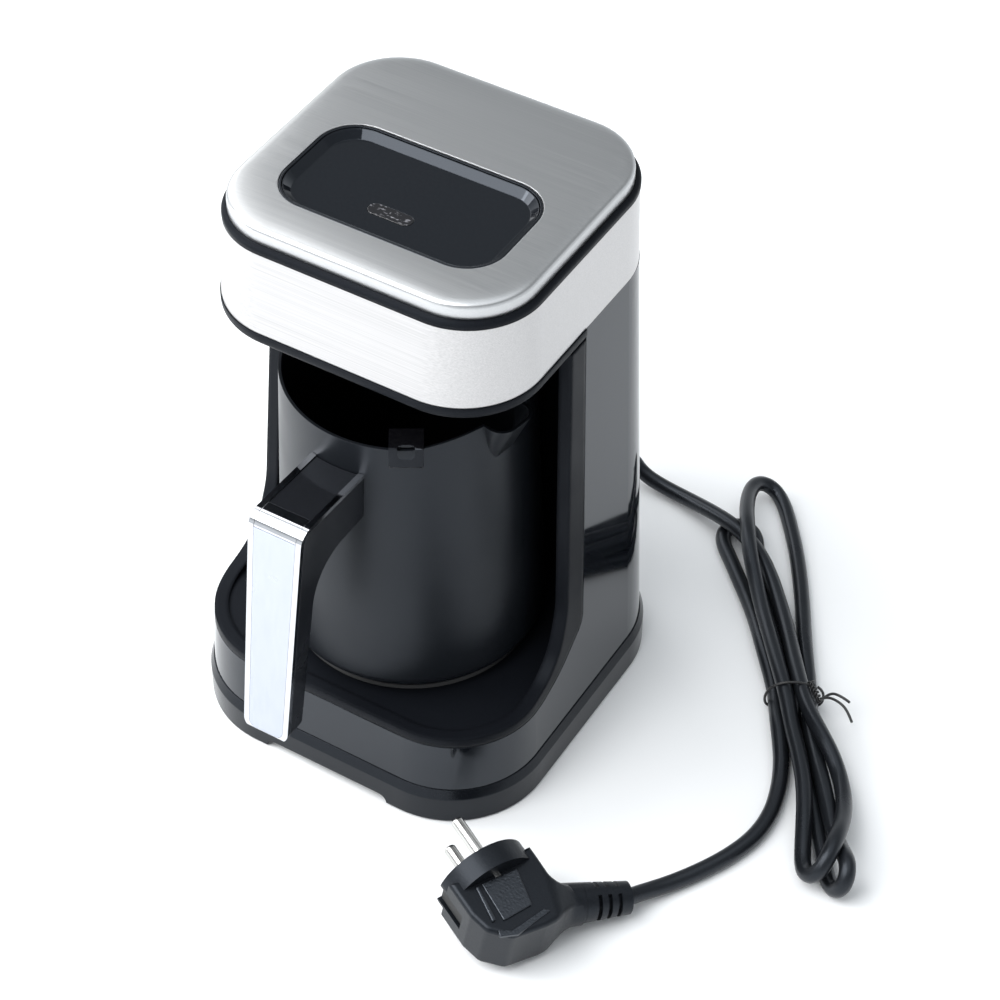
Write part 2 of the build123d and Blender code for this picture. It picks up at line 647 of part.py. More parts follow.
button_foot = button_z - button_t
plunger_top = button_foot - 1.4
with BuildPart() as switch_plunger:
    with Locations((*switch_spot, board_top + 2.0)):
        Cylinder(1.6, plunger_top - board_top - 2.0, align=(Align.CENTER, Align.CENTER, Align.MIN))
    fillet(switch_plunger.edges().group_by(Axis.Z)[-1], 0.4)
switch_plunger.part.label = "switch_plunger"
export_step(switch_plunger.part, "parts/switch_plunger.step")

with BuildPart() as buzzer:
    with Locations((-24, window_y + 4, board_top)):
        Cylinder(6, 4.4, align=(Align.CENTER, Align.CENTER, Align.MIN))
        Cylinder(1, 6, align=(Align.CENTER, Align.CENTER, Align.MIN), mode=Mode.SUBTRACT)
    fillet(buzzer.edges().group_by(Axis.Z)[-1].sort_by(SortBy.RADIUS)[-1], 0.5)
buzzer.part.label = "buzzer"
export_step(buzzer.part, "parts/buzzer.step")

with BuildPart() as indicator_lamps:
    for lamp_x in (-4.5, 4.5):
        with Locations((lamp_x, lens_y, board_top)):
            Cylinder(1.5, 2.6, align=(Align.CENTER, Align.CENTER, Align.MIN))
        with Locations((lamp_x, lens_y, board_top + 2.6)):
            Sphere(1.5)
indicator_lamps.part.label = "indicator_lamps"
export_step(indicator_lamps.part, "parts/indicator_lamps.step")

panel_inset = well_wall + 0.35
dish_top = 241.7
hook_d = 1.3
with BuildPart() as control_button:
    extrude(window_plan(button_foot, panel_inset), amount=dish_top - button_foot)
    loft([window_plan(button_z, panel_inset + 2.9), window_plan(dish_top, panel_inset + 0.3)], ruled=True,
         mode=Mode.SUBTRACT)
    # pocket for the lens
    with BuildSketch(Plane.XY.offset(button_foot)) as lens_pocket:
        with Locations((lens_x, lens_y)):
            SlotOverall(lens_w, lens_d)
    extrude(amount=button_t, mode=Mode.SUBTRACT)
    # boss over the switch
    add(flat_cylinders([switch_spot], plunger_top + 0.05, button_foot, 3.0))
    # hooks through the floor of the well
    for side in (1, -1):
        hook_at = window_y + side * hook_y
        with Locations((0, hook_at - side * 0.3, button_foot)):
            Box(7.5, hook_d, button_foot - well_floor + 1.4, align=(Align.CENTER, Align.CENTER, Align.MAX))
        with Locations((0, hook_at + side * 1.1, well_floor - touch)):
            Box(7.5, 2.4, 1.3, align=(Align.CENTER, Align.CENTER, Align.MAX))
control_button.part.label = "control_button"
export_step(control_button.part, "parts/control_button.step")

with BuildPart() as indicator_lens:
    with BuildSketch(Plane.XY.offset(button_foot)) as lens_plan:
        with Locations((lens_x, lens_y)):
            SlotOverall(lens_w - touch, lens_d - touch)
    extrude(amount=button_t + 0.25)
    fillet(indicator_lens.edges().group_by(Axis.Z)[-1], 0.25)
indicator_lens.part.label = "indicator_lens"
export_step(indicator_lens.part, "parts/indicator_lens.step")

spring_spots = both_sides([(39.6, window_y)])
spring_foot = well_floor + well_floor_t
with BuildPart() as button_springs:
    with BuildSketch(Plane.XY.offset(spring_foot)) as spring_plan:
        with Locations(*spring_spots):
            Circle(2.6)
            Circle(1.9, mode=Mode.SUBTRACT)
    extrude(amount=button_foot - spring_foot)
button_springs.part.label = "button_springs"
export_step(button_springs.part, "parts/button_springs.step")

with BuildPart() as sensor_window:
    with Locations((0, pot_y, floor_top)):
        Cylinder(9.5, 1.5, align=(Align.CENTER, Align.CENTER, Align.MIN))
sensor_window.part.label = "sensor_window"
export_step(sensor_window.part, "parts/sensor_window.step")

with BuildPart() as foam_sensor:
    with Locations((0, pot_y, floor_top + 1.5)):
        Box(26, 18, 1.6, align=(Align.CENTER, Align.CENTER, Align.MIN))
    with Locations((-5, pot_y, floor_top + 3.1), (5, pot_y, floor_top + 3.1)):
        Cylinder(2.5, 5, align=(Align.CENTER, Align.CENTER, Align.MIN))
foam_sensor.part.label = "foam_sensor"
export_step(foam_sensor.part, "parts/foam_sensor.step")

with BuildPart() as head_wires:
    for side in (1, -1):
        add(wire([(side * 6, board_y + touch + board_t / 2, board_high), (side * 6, board_y + touch + board_t / 2, 172),
                  (side * 6, shaft_y, 186), (side * 6, shaft_y, 214), (side * 5, window_y, 214),
                  (side * 5, window_y, board_foot)], 3.0))
        add(wire([(side * 10.5, pot_y, floor_top + 3.1), (side * 10.5, pot_y, 206), (side * 10.5, 73.5, 206),
                  (side * 10.5, 73.5, 170), (side * 10.5, board_y + touch + board_t / 2, 160),
                  (side * 10.5, board_y + touch + board_t / 2, board_high)], 3.0))
head_wires.part.label = "head_wires"
export_step(head_wires.part, "parts/head_wires.step")

# ---------------------------------------------------------------- pot
disc_r, disc_t = 44.0, 0.6
spout_reach, spout_half, spout_foot_z = 55.8, 9.6, 150.0


def pot_profile(inset, top):
    """Half section of the pot's outside, drawn in by inset, up to a height."""
    lean = (pot_foot_r - pot_rim_r) / (pot_rim_z - pot_foot_z)
    foot_z = pot_foot_z + inset
    foot_r = pot_foot_r - inset - lean * inset
    with BuildSketch(Plane.XZ.offset(-pot_y)) as section:
        with BuildLine():
            FilletPolyline((0, foot_z), (foot_r, foot_z), (foot_r - lean * (top - foot_z), top),
                           radius=pot_edge_r - inset)
            Polyline((foot_r - lean * (top - foot_z), top), (0, top), (0, foot_z))
        make_face()
    return section.sketch


pot_axis = Axis((0, pot_y, 0), (0, 0, 1))
spout_plane = Plane((0, pot_y, 0), x_dir=(cos(radians(spout_turn)), sin(radians(spout_turn)), 0), z_dir=(0, 0, 1))
tab_plane = Plane((0, pot_y, 0), x_dir=(cos(radians(tab_turn)), sin(radians(tab_turn)), 0), z_dir=(0, 0, 1))


def spout_form(inset, top):
    """Lip that swells out of the wall: small where it starts, a blunt tongue at the top."""
    with BuildPart() as form:
        with BuildSketch(spout_plane.offset(spout_foot_z)):
            with Locations((42, 0)):
                RectangleRounded(8 - inset, 12 - inset, 3.0)
        with BuildSketch(spout_plane.offset(top)):
            with Locations(((30 + spout_reach) / 2, 0)):
                RectangleRounded(spout_reach - 30 - 2 * inset, 2 * (spout_half - inset), 6.5 - inset)
        loft()
    return form.part


with BuildPart() as pot_body:
    revolve(pot_profile(0, spout_z), axis=pot_axis)
    add(spout_form(0, spout_z))
    # hollow, open at the top and through the spout
    revolve(pot_profile(pot_t, spout_z + 3), axis=pot_axis, mode=Mode.SUBTRACT)
    add(spout_form(pot_t, spout_z + 0.01), mode=Mode.SUBTRACT)
    # rim rises to the spout
    with BuildSketch(Plane(spout_plane.origin, x_dir=spout_plane.x_dir, z_dir=-spout_plane.y_dir)) as spout_top:
        with BuildLine():
            FilletPolyline((-60, pot_rim_z), (34, pot_rim_z), (46, spout_z - 0.6), (70, spout_z + 0.2), (70, 180),
                           (-60, 180), radius=[0, 14, 14, 0, 0, 0], close=True)
        make_face()
    extrude(amount=60, both=True, mode=Mode.SUBTRACT)
    # seat of the base disc
    add(flat_cylinders([(0, pot_y)], pot_foot_z - 1, pot_foot_z + disc_t + 0.05, disc_r + 0.05), mode=Mode.SUBTRACT)
pot_body.part.label = "pot_body"
export_step(pot_body.part, "parts/pot_body.step")

with BuildPart() as pot_base_disc:
    add(flat_cylinders([(0, pot_y)], pot_foot_z, pot_foot_z + disc_t, disc_r))
pot_base_disc.part.label = "pot_base_disc"
export_step(pot_base_disc.part, "parts/pot_base_disc.step")

# rim tab: folded strip that hangs on the rim and leans outwards, with a window through the fold
tab_t, tab_w, tab_window = 1.2, 12.4, 6.3
with BuildPart() as rim_tab:
    with BuildSketch(Plane(tab_plane.origin, x_dir=tab_plane.x_dir, z_dir=-tab_plane.y_dir)) as tab_side:
        with BuildLine():
            FilletPolyline((38.6, pot_rim_z + 2.3), (46.8, pot_rim_z + 1.5), (52.8, pot_rim_z - 2.6), radius=4)
        trace(line_width=tab_t)
    extrude(amount=tab_w / 2, both=True)
    with BuildSketch(tab_plane) as tab_plan:
        with Locations((46, 0)):
            Rectangle(17, tab_w)
        fillet(tab_plan.vertices().group_by(Axis.X)[-1], 3.2)
        with Locations((48.6, 0)):
            RectangleRounded(4.6, tab_window, 1.6, mode=Mode.SUBTRACT)
    extrude(amount=200, mode=Mode.INTERSECT)
rim_tab.part.label = "rim_tab"
export_step(rim_tab.part, "parts/rim_tab.step")

# ---------------------------------------------------------------- handle
trim_t = 1.8              # chrome round the handle's top and front
pocket_t = 1.2            # depth of the pocket that the cap, the front plate and the thumb rest lie in
rail_w = 2.2
bend_r = 5.5
cap_back, cap_seam_z = -69.6, 152.5


def handle_side(cover):
    """Side view of the handle, its top and front drawn in by cover."""
    corner = (handle_corner[0] + cover, handle_corner[1] - cover)
    foot = (handle_foot[0] + cover, handle_foot[1])
    with BuildSketch(Plane.YZ) as side:
        with BuildLine():
            FilletPolyline((handle_back, handle_top_z - cover), corner, foot, (-83.8, 62.6), (-70.5, 134.5),
                           (handle_back, 134.5), radius=[0, bend_r - cover, 1.2, 3.5, 20, 0], close=True)
        make_face()
    return side.sketch


def handle_front(inset, foot_inset=0.0, corner_r=5.0):
    """Front view of the handle as a slab along Y, drawn in by inset."""
    top, foot = 165.0, handle_foot[1] - 0.2 + foot_inset
    slope = (handle_top_w - handle_foot_w) / 2 / (handle_corner[1] - handle_foot[1])
    foot_w = handle_foot_w / 2 - inset + slope * (foot - handle_foot[1])
    top_w = handle_top_w / 2 - inset + slope * (top - handle_corner[1])
    with BuildPart() as slab:
        with BuildSketch(Plane.XZ.offset(30)) as front:
            with BuildLine():
                Polyline((-foot_w, foot), (foot_w, foot), (top_w, top), (-top_w, top), close=True)
            make_face()
            fillet(front.vertices().group_by(Axis.Y)[0], corner_r)
        extrude(amount=80)
    return slab.part


bracket_w, bracket_h, bracket_top, bracket_front = 9.0, 5.0, 147.0, -59.5
handle_screw_spot = (0, -54)
handle_screw_seat = 138.0
half_w = 15.0             # wider than half the handle

with BuildPart() as handle_grip:
    extrude(handle_side(trim_t), amount=half_w, both=True)
    add(handle_front(0), mode=Mode.INTERSECT)
    # back follows the pot's wall
    revolve(pot_profile(-0.15, pot_rim_z), axis=pot_axis, mode=Mode.SUBTRACT)
    # socket of the bracket and its screw
    with Locations((0, bracket_front - touch, bracket_top + touch)):
        Box(bracket_w + 2 * touch, 30, bracket_h + 2 * touch,
            align=(Align.CENTER, Align.MIN, Align.MAX), mode=Mode.SUBTRACT)
    add(flat_cylinders([handle_screw_spot], 130, 145, screw_r + gap), mode=Mode.SUBTRACT)
    add(flat_cylinders([handle_screw_spot], 130, handle_screw_seat, screw_head_r + gap), mode=Mode.SUBTRACT)
handle_grip.part.label = "handle_grip"
export_step(handle_grip.part, "parts/handle_grip.step")

with BuildPart() as handle_bracket:
    with Locations((0, bracket_front, bracket_top)):
        Box(bracket_w, 30, bracket_h, align=(Align.CENTER, Align.MIN, Align.MAX))
    fillet(handle_bracket.edges().filter_by(Axis.Z).group_by(Axis.Y)[0], 1.5)
    revolve(pot_profile(-0.02, pot_rim_z), axis=pot_axis, mode=Mode.SUBTRACT)
    add(flat_cylinders([handle_screw_spot], 140, 150, screw_hole_r), mode=Mode.SUBTRACT)
handle_bracket.part.label = "handle_bracket"
export_step(handle_bracket.part, "parts/handle_bracket.step")

with BuildPart() as handle_screw:
    add(screws([handle_screw_spot], handle_screw_seat, 8.6))
handle_screw.part.label = "handle_screw"
export_step(handle_screw.part, "parts/handle_screw.step")

with BuildPart() as trim_pocket:
    extrude(handle_side(-1), amount=half_w, both=True)
    extrude(handle_side(pocket_t), amount=half_w, both=True, mode=Mode.SUBTRACT)
    add(handle_front(rail_w, 1.6, 3.4), mode=Mode.INTERSECT)

with BuildPart() as handle_frame:
    # band over the top and down the front, as wide as the handle
    extrude(handle_side(0), amount=half_w, both=True)
    extrude(handle_side(trim_t - touch), amount=half_w, both=True, mode=Mode.SUBTRACT)
    add(handle_front(0), mode=Mode.INTERSECT)
    revolve(pot_profile(-0.15, spout_z), axis=pot_axis, mode=Mode.SUBTRACT)
    add(trim_pocket.part, mode=Mode.SUBTRACT)
handle_frame.part.label = "handle_frame"
export_step(handle_frame.part, "parts/handle_frame.step")


def trim_strip(lift, back, front, low, high):
    """Part of the strip that lies in the pocket, lift below the rails, between limits along Y and Z."""
    with BuildPart() as strip:
        extrude(handle_side(lift), amount=half_w, both=True)
        extrude(handle_side(pocket_t - touch), amount=half_w, both=True, mode=Mode.SUBTRACT)
        add(handle_front(rail_w + touch, 1.6 + touch, 3.3), mode=Mode.INTERSECT)
        with Locations((0, (back + front) / 2, (low + high) / 2)):
            Box(2 * half_w, back - front, high - low, mode=Mode.INTERSECT)
        revolve(pot_profile(-0.15, spout_z), axis=pot_axis, mode=Mode.SUBTRACT)
    return strip.part


thumb_rest = trim_strip(0.5, -20, cap_back + touch, 140, 170)
thumb_rest.label = "thumb_rest"
export_step(thumb_rest, "parts/thumb_rest.step")

handle_cap = trim_strip(0, cap_back, -110, cap_seam_z + touch, 170)
handle_cap.label = "handle_cap"
export_step(handle_cap, "parts/handle_cap.step")

front_plate = trim_strip(0, -60, -110, 40, cap_seam_z)
front_plate.label = "front_plate"
export_step(front_plate, "parts/front_plate.step")

# ---------------------------------------------------------------- plug, lying on its side
plug_spot = (84.3, -80.0, 19.9)
plug_back = Vector(0.8909, -0.4269, -0.1550).normalized()
plug_up = (Vector(0.1709, -0.0010, 0.9853) - plug_back * plug_back.dot(Vector(0.1709, -0.0010, 0.9853))).normalized()
face_plane = Plane(plug_spot, x_dir=plug_up.cross(plug_back), z_dir=plug_back)
flat_plane = Plane(plug_spot, x_dir=face_plane.x_dir, z_dir=-plug_up)
face_r, face_flat, face_t = 18.6, 17.9, 9.0
pin_r, pin_length, pin_spread = 2.4, 19.0, 9.5
plug_half_t = 11.6
neck_length, neck_r, relief_r = 16.5, 8.8, 6.3
neck_foot = face_plane.from_local_coords((12, -1.0, 22.6))
relief_tip = face_plane.from_local_coords((45.5, -3.8, 33.4))
relief_way = (relief_tip - neck_foot).normalized()
relief_length = (relief_tip - neck_foot).length


def neck_disc(distance):
    """Round section of the plug's neck and relief, which narrow evenly towards the lead."""
    with BuildSketch(Plane(neck_foot + relief_way * distance, x_dir=plug_up, z_dir=relief_way)) as disc:
        Circle(neck_r + (relief_r - neck_r) * distance / relief_length)
    return disc.sketch


with BuildPart() as plug_body:
    with BuildSketch(flat_plane) as plug_outline:
        with BuildLine():
            FilletPolyline((-face_flat, 4), (face_flat, 4), (18.2, 19), (24, 22), (24, 35.4), (5, 35.4), (-9, 33.8),
                           (-16, 27), (-face_flat, 19), radius=[0, 0, 6, 0, 0, 6, 4, 5, 5], close=True)
        make_face()
    extrude(amount=plug_half_t, both=True)
    fillet(plug_body.faces().filter_by(flat_plane).edges(), 2.0)
    with BuildSketch(face_plane) as plug_face:
        Circle(face_r)
        Rectangle(2 * face_flat, 2 * face_r, mode=Mode.INTERSECT)
    extrude(amount=face_t)
    loft([neck_disc(0), neck_disc(neck_length - touch)])
    # holes of the pins and grooves of the earth clips
    with BuildSketch(face_plane) as pin_holes:
        with Locations((0, pin_spread), (0, -pin_spread)):
            Circle(pin_r + 0.03)
    extrude(amount=12, mode=Mode.SUBTRACT)
    with BuildSketch(face_plane) as clip_grooves:
        with Locations((face_flat, 0), (-face_flat, 0)):
            Rectangle(3.6, 8.4)
    extrude(amount=15, mode=Mode.SUBTRACT)
plug_body.part.label = "plug_body"
export_step(plug_body.part, "parts/plug_body.step")

with BuildPart() as plug_relief:
    loft([neck_disc(neck_length), neck_disc(relief_length)])
    # flexing slots on both sides
    for step in range(3):
        slot_at = neck_foot + relief_way * (relief_length - 4.4 - 4.1 * step)
        with BuildSketch(Plane(slot_at, x_dir=plug_up, z_dir=relief_way)) as relief_slot:
            Circle(12)
            Circle(4.6, mode=Mode.SUBTRACT)
            Rectangle(30, 3.2, mode=Mode.SUBTRACT)
        extrude(amount=-1.6, mode=Mode.SUBTRACT)
plug_relief.part.label = "plug_relief"
export_step(plug_relief.part, "parts/plug_relief.step")

with BuildPart() as plug_pins:
    with BuildSketch(face_plane.offset(-pin_length)) as pin_plan:
        with Locations((0, pin_spread), (0, -pin_spread)):
            Circle(pin_r)
    extrude(amount=pin_length + 11.5)
    fillet(plug_pins.faces().filter_by(face_plane).sort_by(Axis(plug_spot, plug_back))[:2].edges(), 1.2)
plug_pins.part.label = "plug_pins"
export_step(plug_pins.part, "parts/plug_pins.step")

with BuildPart() as plug_earth_clips:
    with BuildSketch(face_plane.offset(1.5)) as clip_plan:
        with Locations((face_flat - 1.3, 0), (1.3 - face_flat, 0)):
            Rectangle(0.8, 5.6)
    extrude(amount=13.4)
plug_earth_clips.part.label = "plug_earth_clips"
export_step(plug_earth_clips.part, "parts/plug_earth_clips.step")

# ---------------------------------------------------------------- mains lead
# From the bush to the hank, and from the hank to the plug
start_route = [(0, exit_end, exit_z), (0, 126, exit_z), (6.5, 141.5, 23), (19.7, 149.6, 13.8), (35.5, 149.5, 4.2),
               (50.8, 147.6, 3.4), (63.5, 145.8, 4.2)]
tail_end = relief_tip + relief_way * 15
tail_route = [(138.0, 63.0, 5.0), (144.5, 50.5, 3.8), (151.8, 36.0, 3.3), (157.6, 20.5, 3.3), (159.4, 3.5, 3.3),
              (156, -12.5, 3.4), (150.2, -28, 3.6), (tail_end.X, tail_end.Y, tail_end.Z),
              (relief_tip.X, relief_tip.Y, relief_tip.Z)]


def lead(route, name):
    """Lead along straight runs joined by arcs as wide as the runs allow."""
    radii = arc_radii(route)
    with BuildPart() as tube:
        with BuildLine() as path:
            FilletPolyline(*route, radius=radii)
        with BuildSketch(Plane(path.line @ 0, z_dir=path.line % 0)):
            Circle(lead_r)
        sweep(path=path.line)
    length = path.wire().length
    share = tube.part.volume / (pi * lead_r ** 2 * length)
    print(name, round(length), "mm, volume over section x length", round(share, 4), "arcs",
          [round(radius) for radius in radii])
    return tube.part


cord_start = lead(start_route, "cord_start")
cord_start.label = "cord_start"
export_step(cord_start, "parts/cord_start.step")

cord_tail = lead(tail_route, "cord_tail")
cord_tail.label = "cord_tail"
export_step(cord_tail, "parts/cord_tail.step")

hank_h = 12.4
tie_spot, tie_lean = (139.9, 69.0), 30.0
tie_across = (cos(radians(tie_lean)), sin(radians(tie_lean)), 0)
tie_plane = Plane((*tie_spot, 0), x_dir=tie_across, z_dir=(tie_across[1], -tie_across[0], 0))
waist_w, tie_wire = 20.2, 1.1
waist_low, waist_high = 1.3, 13.0

with BuildPart() as cord_hank:
    # upper loops and lower loops, each as the outline round them all
    with BuildSketch() as upper_loops:
        with BuildLine():
            FilletPolyline((131, 60), (118, 80), (62.5, 137), (62, 147), (67.5, 168), (75, 177), (87, 170),
                           (112, 138), (150, 76), radius=[9, 5, 5, 8, 7, 9, 30, 1, 1], close=True)
        make_face()
    extrude(amount=hank_h)
    with BuildSketch() as lower_loops:
        with BuildLine():
            FilletPolyline((134, 63), (147, 57), (159, 41), (175.5, 5), (181, -10.5), (200, -12.5), (203, -3),
                           (194, 14), (186, 35), (168, 57), (150, 76), radius=[2, 8, 30, 5, 6, 5, 10, 30, 12, 1, 1],
                           close=True)
        make_face()
    extrude(amount=hank_h)
    # waist under the tie
    with BuildSketch(tie_plane) as waist:
        with Locations((0, (waist_low + waist_high) / 2)):
            Rectangle(80, 40)
            RectangleRounded(waist_w, waist_high - waist_low, 4, mode=Mode.SUBTRACT)
    extrude(amount=2.2, both=True, mode=Mode.SUBTRACT)
cord_hank.part.label = "cord_hank"
export_step(cord_hank.part, "parts/cord_hank.step")

with BuildPart() as twist_tie:
    with BuildSketch(tie_plane) as tie_ring:
        with Locations((0, (waist_low + waist_high) / 2)):
            RectangleRounded(waist_w + 0.2 + 2 * tie_wire, waist_high - waist_low + 0.2 + 2 * tie_wire, 5)
            RectangleRounded(waist_w + 0.2, waist_high - waist_low + 0.2, 4, mode=Mode.SUBTRACT)
    extrude(amount=tie_wire / 2, both=True)
    # twisted ends
    with BuildSketch(Plane(tie_plane.from_local_coords((waist_w / 2 + 0.6, waist_high - 3, 0)),
                           z_dir=tie_plane.x_dir)):
        Circle(1.5)
    extrude(amount=8)
twist_tie.part.label = "twist_tie"
export_step(twist_tie.part, "parts/twist_tie.step")
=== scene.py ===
import math

import bmesh
import bpy
from mathutils import Matrix, Vector


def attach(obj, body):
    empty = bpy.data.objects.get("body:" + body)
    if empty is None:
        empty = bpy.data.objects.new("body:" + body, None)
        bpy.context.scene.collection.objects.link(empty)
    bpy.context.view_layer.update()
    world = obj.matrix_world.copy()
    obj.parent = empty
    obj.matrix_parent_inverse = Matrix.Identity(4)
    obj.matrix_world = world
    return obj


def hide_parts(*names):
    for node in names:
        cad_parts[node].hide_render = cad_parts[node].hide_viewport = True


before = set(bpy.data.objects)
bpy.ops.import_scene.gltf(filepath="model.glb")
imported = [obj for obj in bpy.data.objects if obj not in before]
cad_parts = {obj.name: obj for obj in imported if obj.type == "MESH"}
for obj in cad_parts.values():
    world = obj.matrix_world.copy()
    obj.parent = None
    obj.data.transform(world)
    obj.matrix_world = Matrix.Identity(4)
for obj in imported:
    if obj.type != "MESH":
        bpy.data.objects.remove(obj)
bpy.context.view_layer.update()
scene = bpy.context.scene
mm = 0.001
print("frame loaded:", len(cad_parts), "nodes")

# Camera, floor and light
cameraSetup = {
    "place": (0.409853, -0.609284, 0.832989),
    "right": (0.85437, 0.51964, 0.00554),
    "up": (-0.36987, 0.60056, 0.70889),
    "back": (0.36504, -0.60770, 0.70529),
    "lens": 98.449, "sensor": 36, "nearest": 0.01,
}
camera = bpy.data.objects.new("camera", bpy.data.cameras.new("camera"))
camera.data.lens = cameraSetup["lens"]
camera.data.sensor_width = cameraSetup["sensor"]
camera.data.clip_start = cameraSetup["nearest"]
axes = Matrix((cameraSetup["right"], cameraSetup["up"], cameraSetup["back"])).transposed()
camera.matrix_world = Matrix.Translation(cameraSetup["place"]) @ axes.to_4x4()
scene.collection.objects.link(camera)
scene.camera = camera

studio = {
    "floorColour": (0.94, 0.95, 0.96), "floorRoughness": 0.9, "floorHalfSize": 6,
    "skyTint": (0.93, 0.97, 1.0),
    "skyStrength": 1.3,
    # sine of the height over the horizon, share of the strength
    "skyRamp": ((0.10, 0.77), (0.50, 0.29), (0.76, 0.31), (0.92, 1.0)),
    "panels": [  # name, place, aimed at, width, height, power
        ("overhead", (-0.5, -0.72, 1.25), (-0.05, -0.1, 0.0), 1.3, 1.3, 24.0),
        ("lidPanel", (-0.72, 0.34, 0.74), (-0.05, 0.0, 0.24), 0.5, 0.8, 2.4),
        ("leftPanel", (-1.15, -0.45, 0.7), (0.0, 0.0, 0.15), 0.6, 0.9, 8.0),
    ],
}


def addPanel(name, place, target, width, height, power):
    lamp = bpy.data.lights.new(name, "AREA")
    lamp.shape = "RECTANGLE"
    lamp.size = width
    lamp.size_y = height
    lamp.energy = power
    panel = bpy.data.objects.new(name, lamp)
    panel.location = place
    aim = Vector(target) - Vector(place)
    panel.rotation_euler = aim.to_track_quat("-Z", "Y").to_euler()
    scene.collection.objects.link(panel)


for panel in studio["panels"]:
    addPanel(*panel)
sky = bpy.data.worlds.new("studioSky")
sky.use_nodes = True
skyTree = sky.node_tree
skyLook = skyTree.nodes.new("ShaderNodeTexCoord")
skyParts = skyTree.nodes.new("ShaderNodeSeparateXYZ")
skyRamp = skyTree.nodes.new("ShaderNodeValToRGB")
skyRamp.color_ramp.interpolation = "EASE"
for count, (height, level) in enumerate(studio["skyRamp"]):
    stops = skyRamp.color_ramp.elements
    stop = stops[count] if count < 2 else stops.new(height)
    stop.position = height
    stop.color = [level * share for share in studio["skyTint"]] + [1]
skyTree.links.new(skyLook.outputs["Generated"], skyParts.inputs["Vector"])
skyTree.links.new(skyParts.outputs["Z"], skyRamp.inputs["Fac"])
skyGlow = skyTree.nodes["Background"]
skyTree.links.new(skyRamp.outputs["Color"], skyGlow.inputs["Color"])
skyGlow.inputs["Strength"].default_value = studio["skyStrength"]
scene.world = sky
scene.view_settings.view_transform = "Standard"

floorMesh = bpy.data.meshes.new("floor")
shape = bmesh.new()
bmesh.ops.create_grid(shape, x_segments=1, y_segments=1, size=studio["floorHalfSize"])
shape.to_mesh(floorMesh)
shape.free()
floor = bpy.data.objects.new("floor", floorMesh)
scene.collection.objects.link(floor)
floorFinish = bpy.data.materials.new("paleFloor")
floorFinish.use_nodes = True
floorShader = floorFinish.node_tree.nodes["Principled BSDF"]
floorShader.inputs["Base Color"].default_value = (*studio["floorColour"], 1)
floorShader.inputs["Roughness"].default_value = studio["floorRoughness"]
floorShader.inputs["Specular IOR Level"].default_value = 0.0
floorMesh.materials.append(floorFinish)
print("camera, floor and light ready")

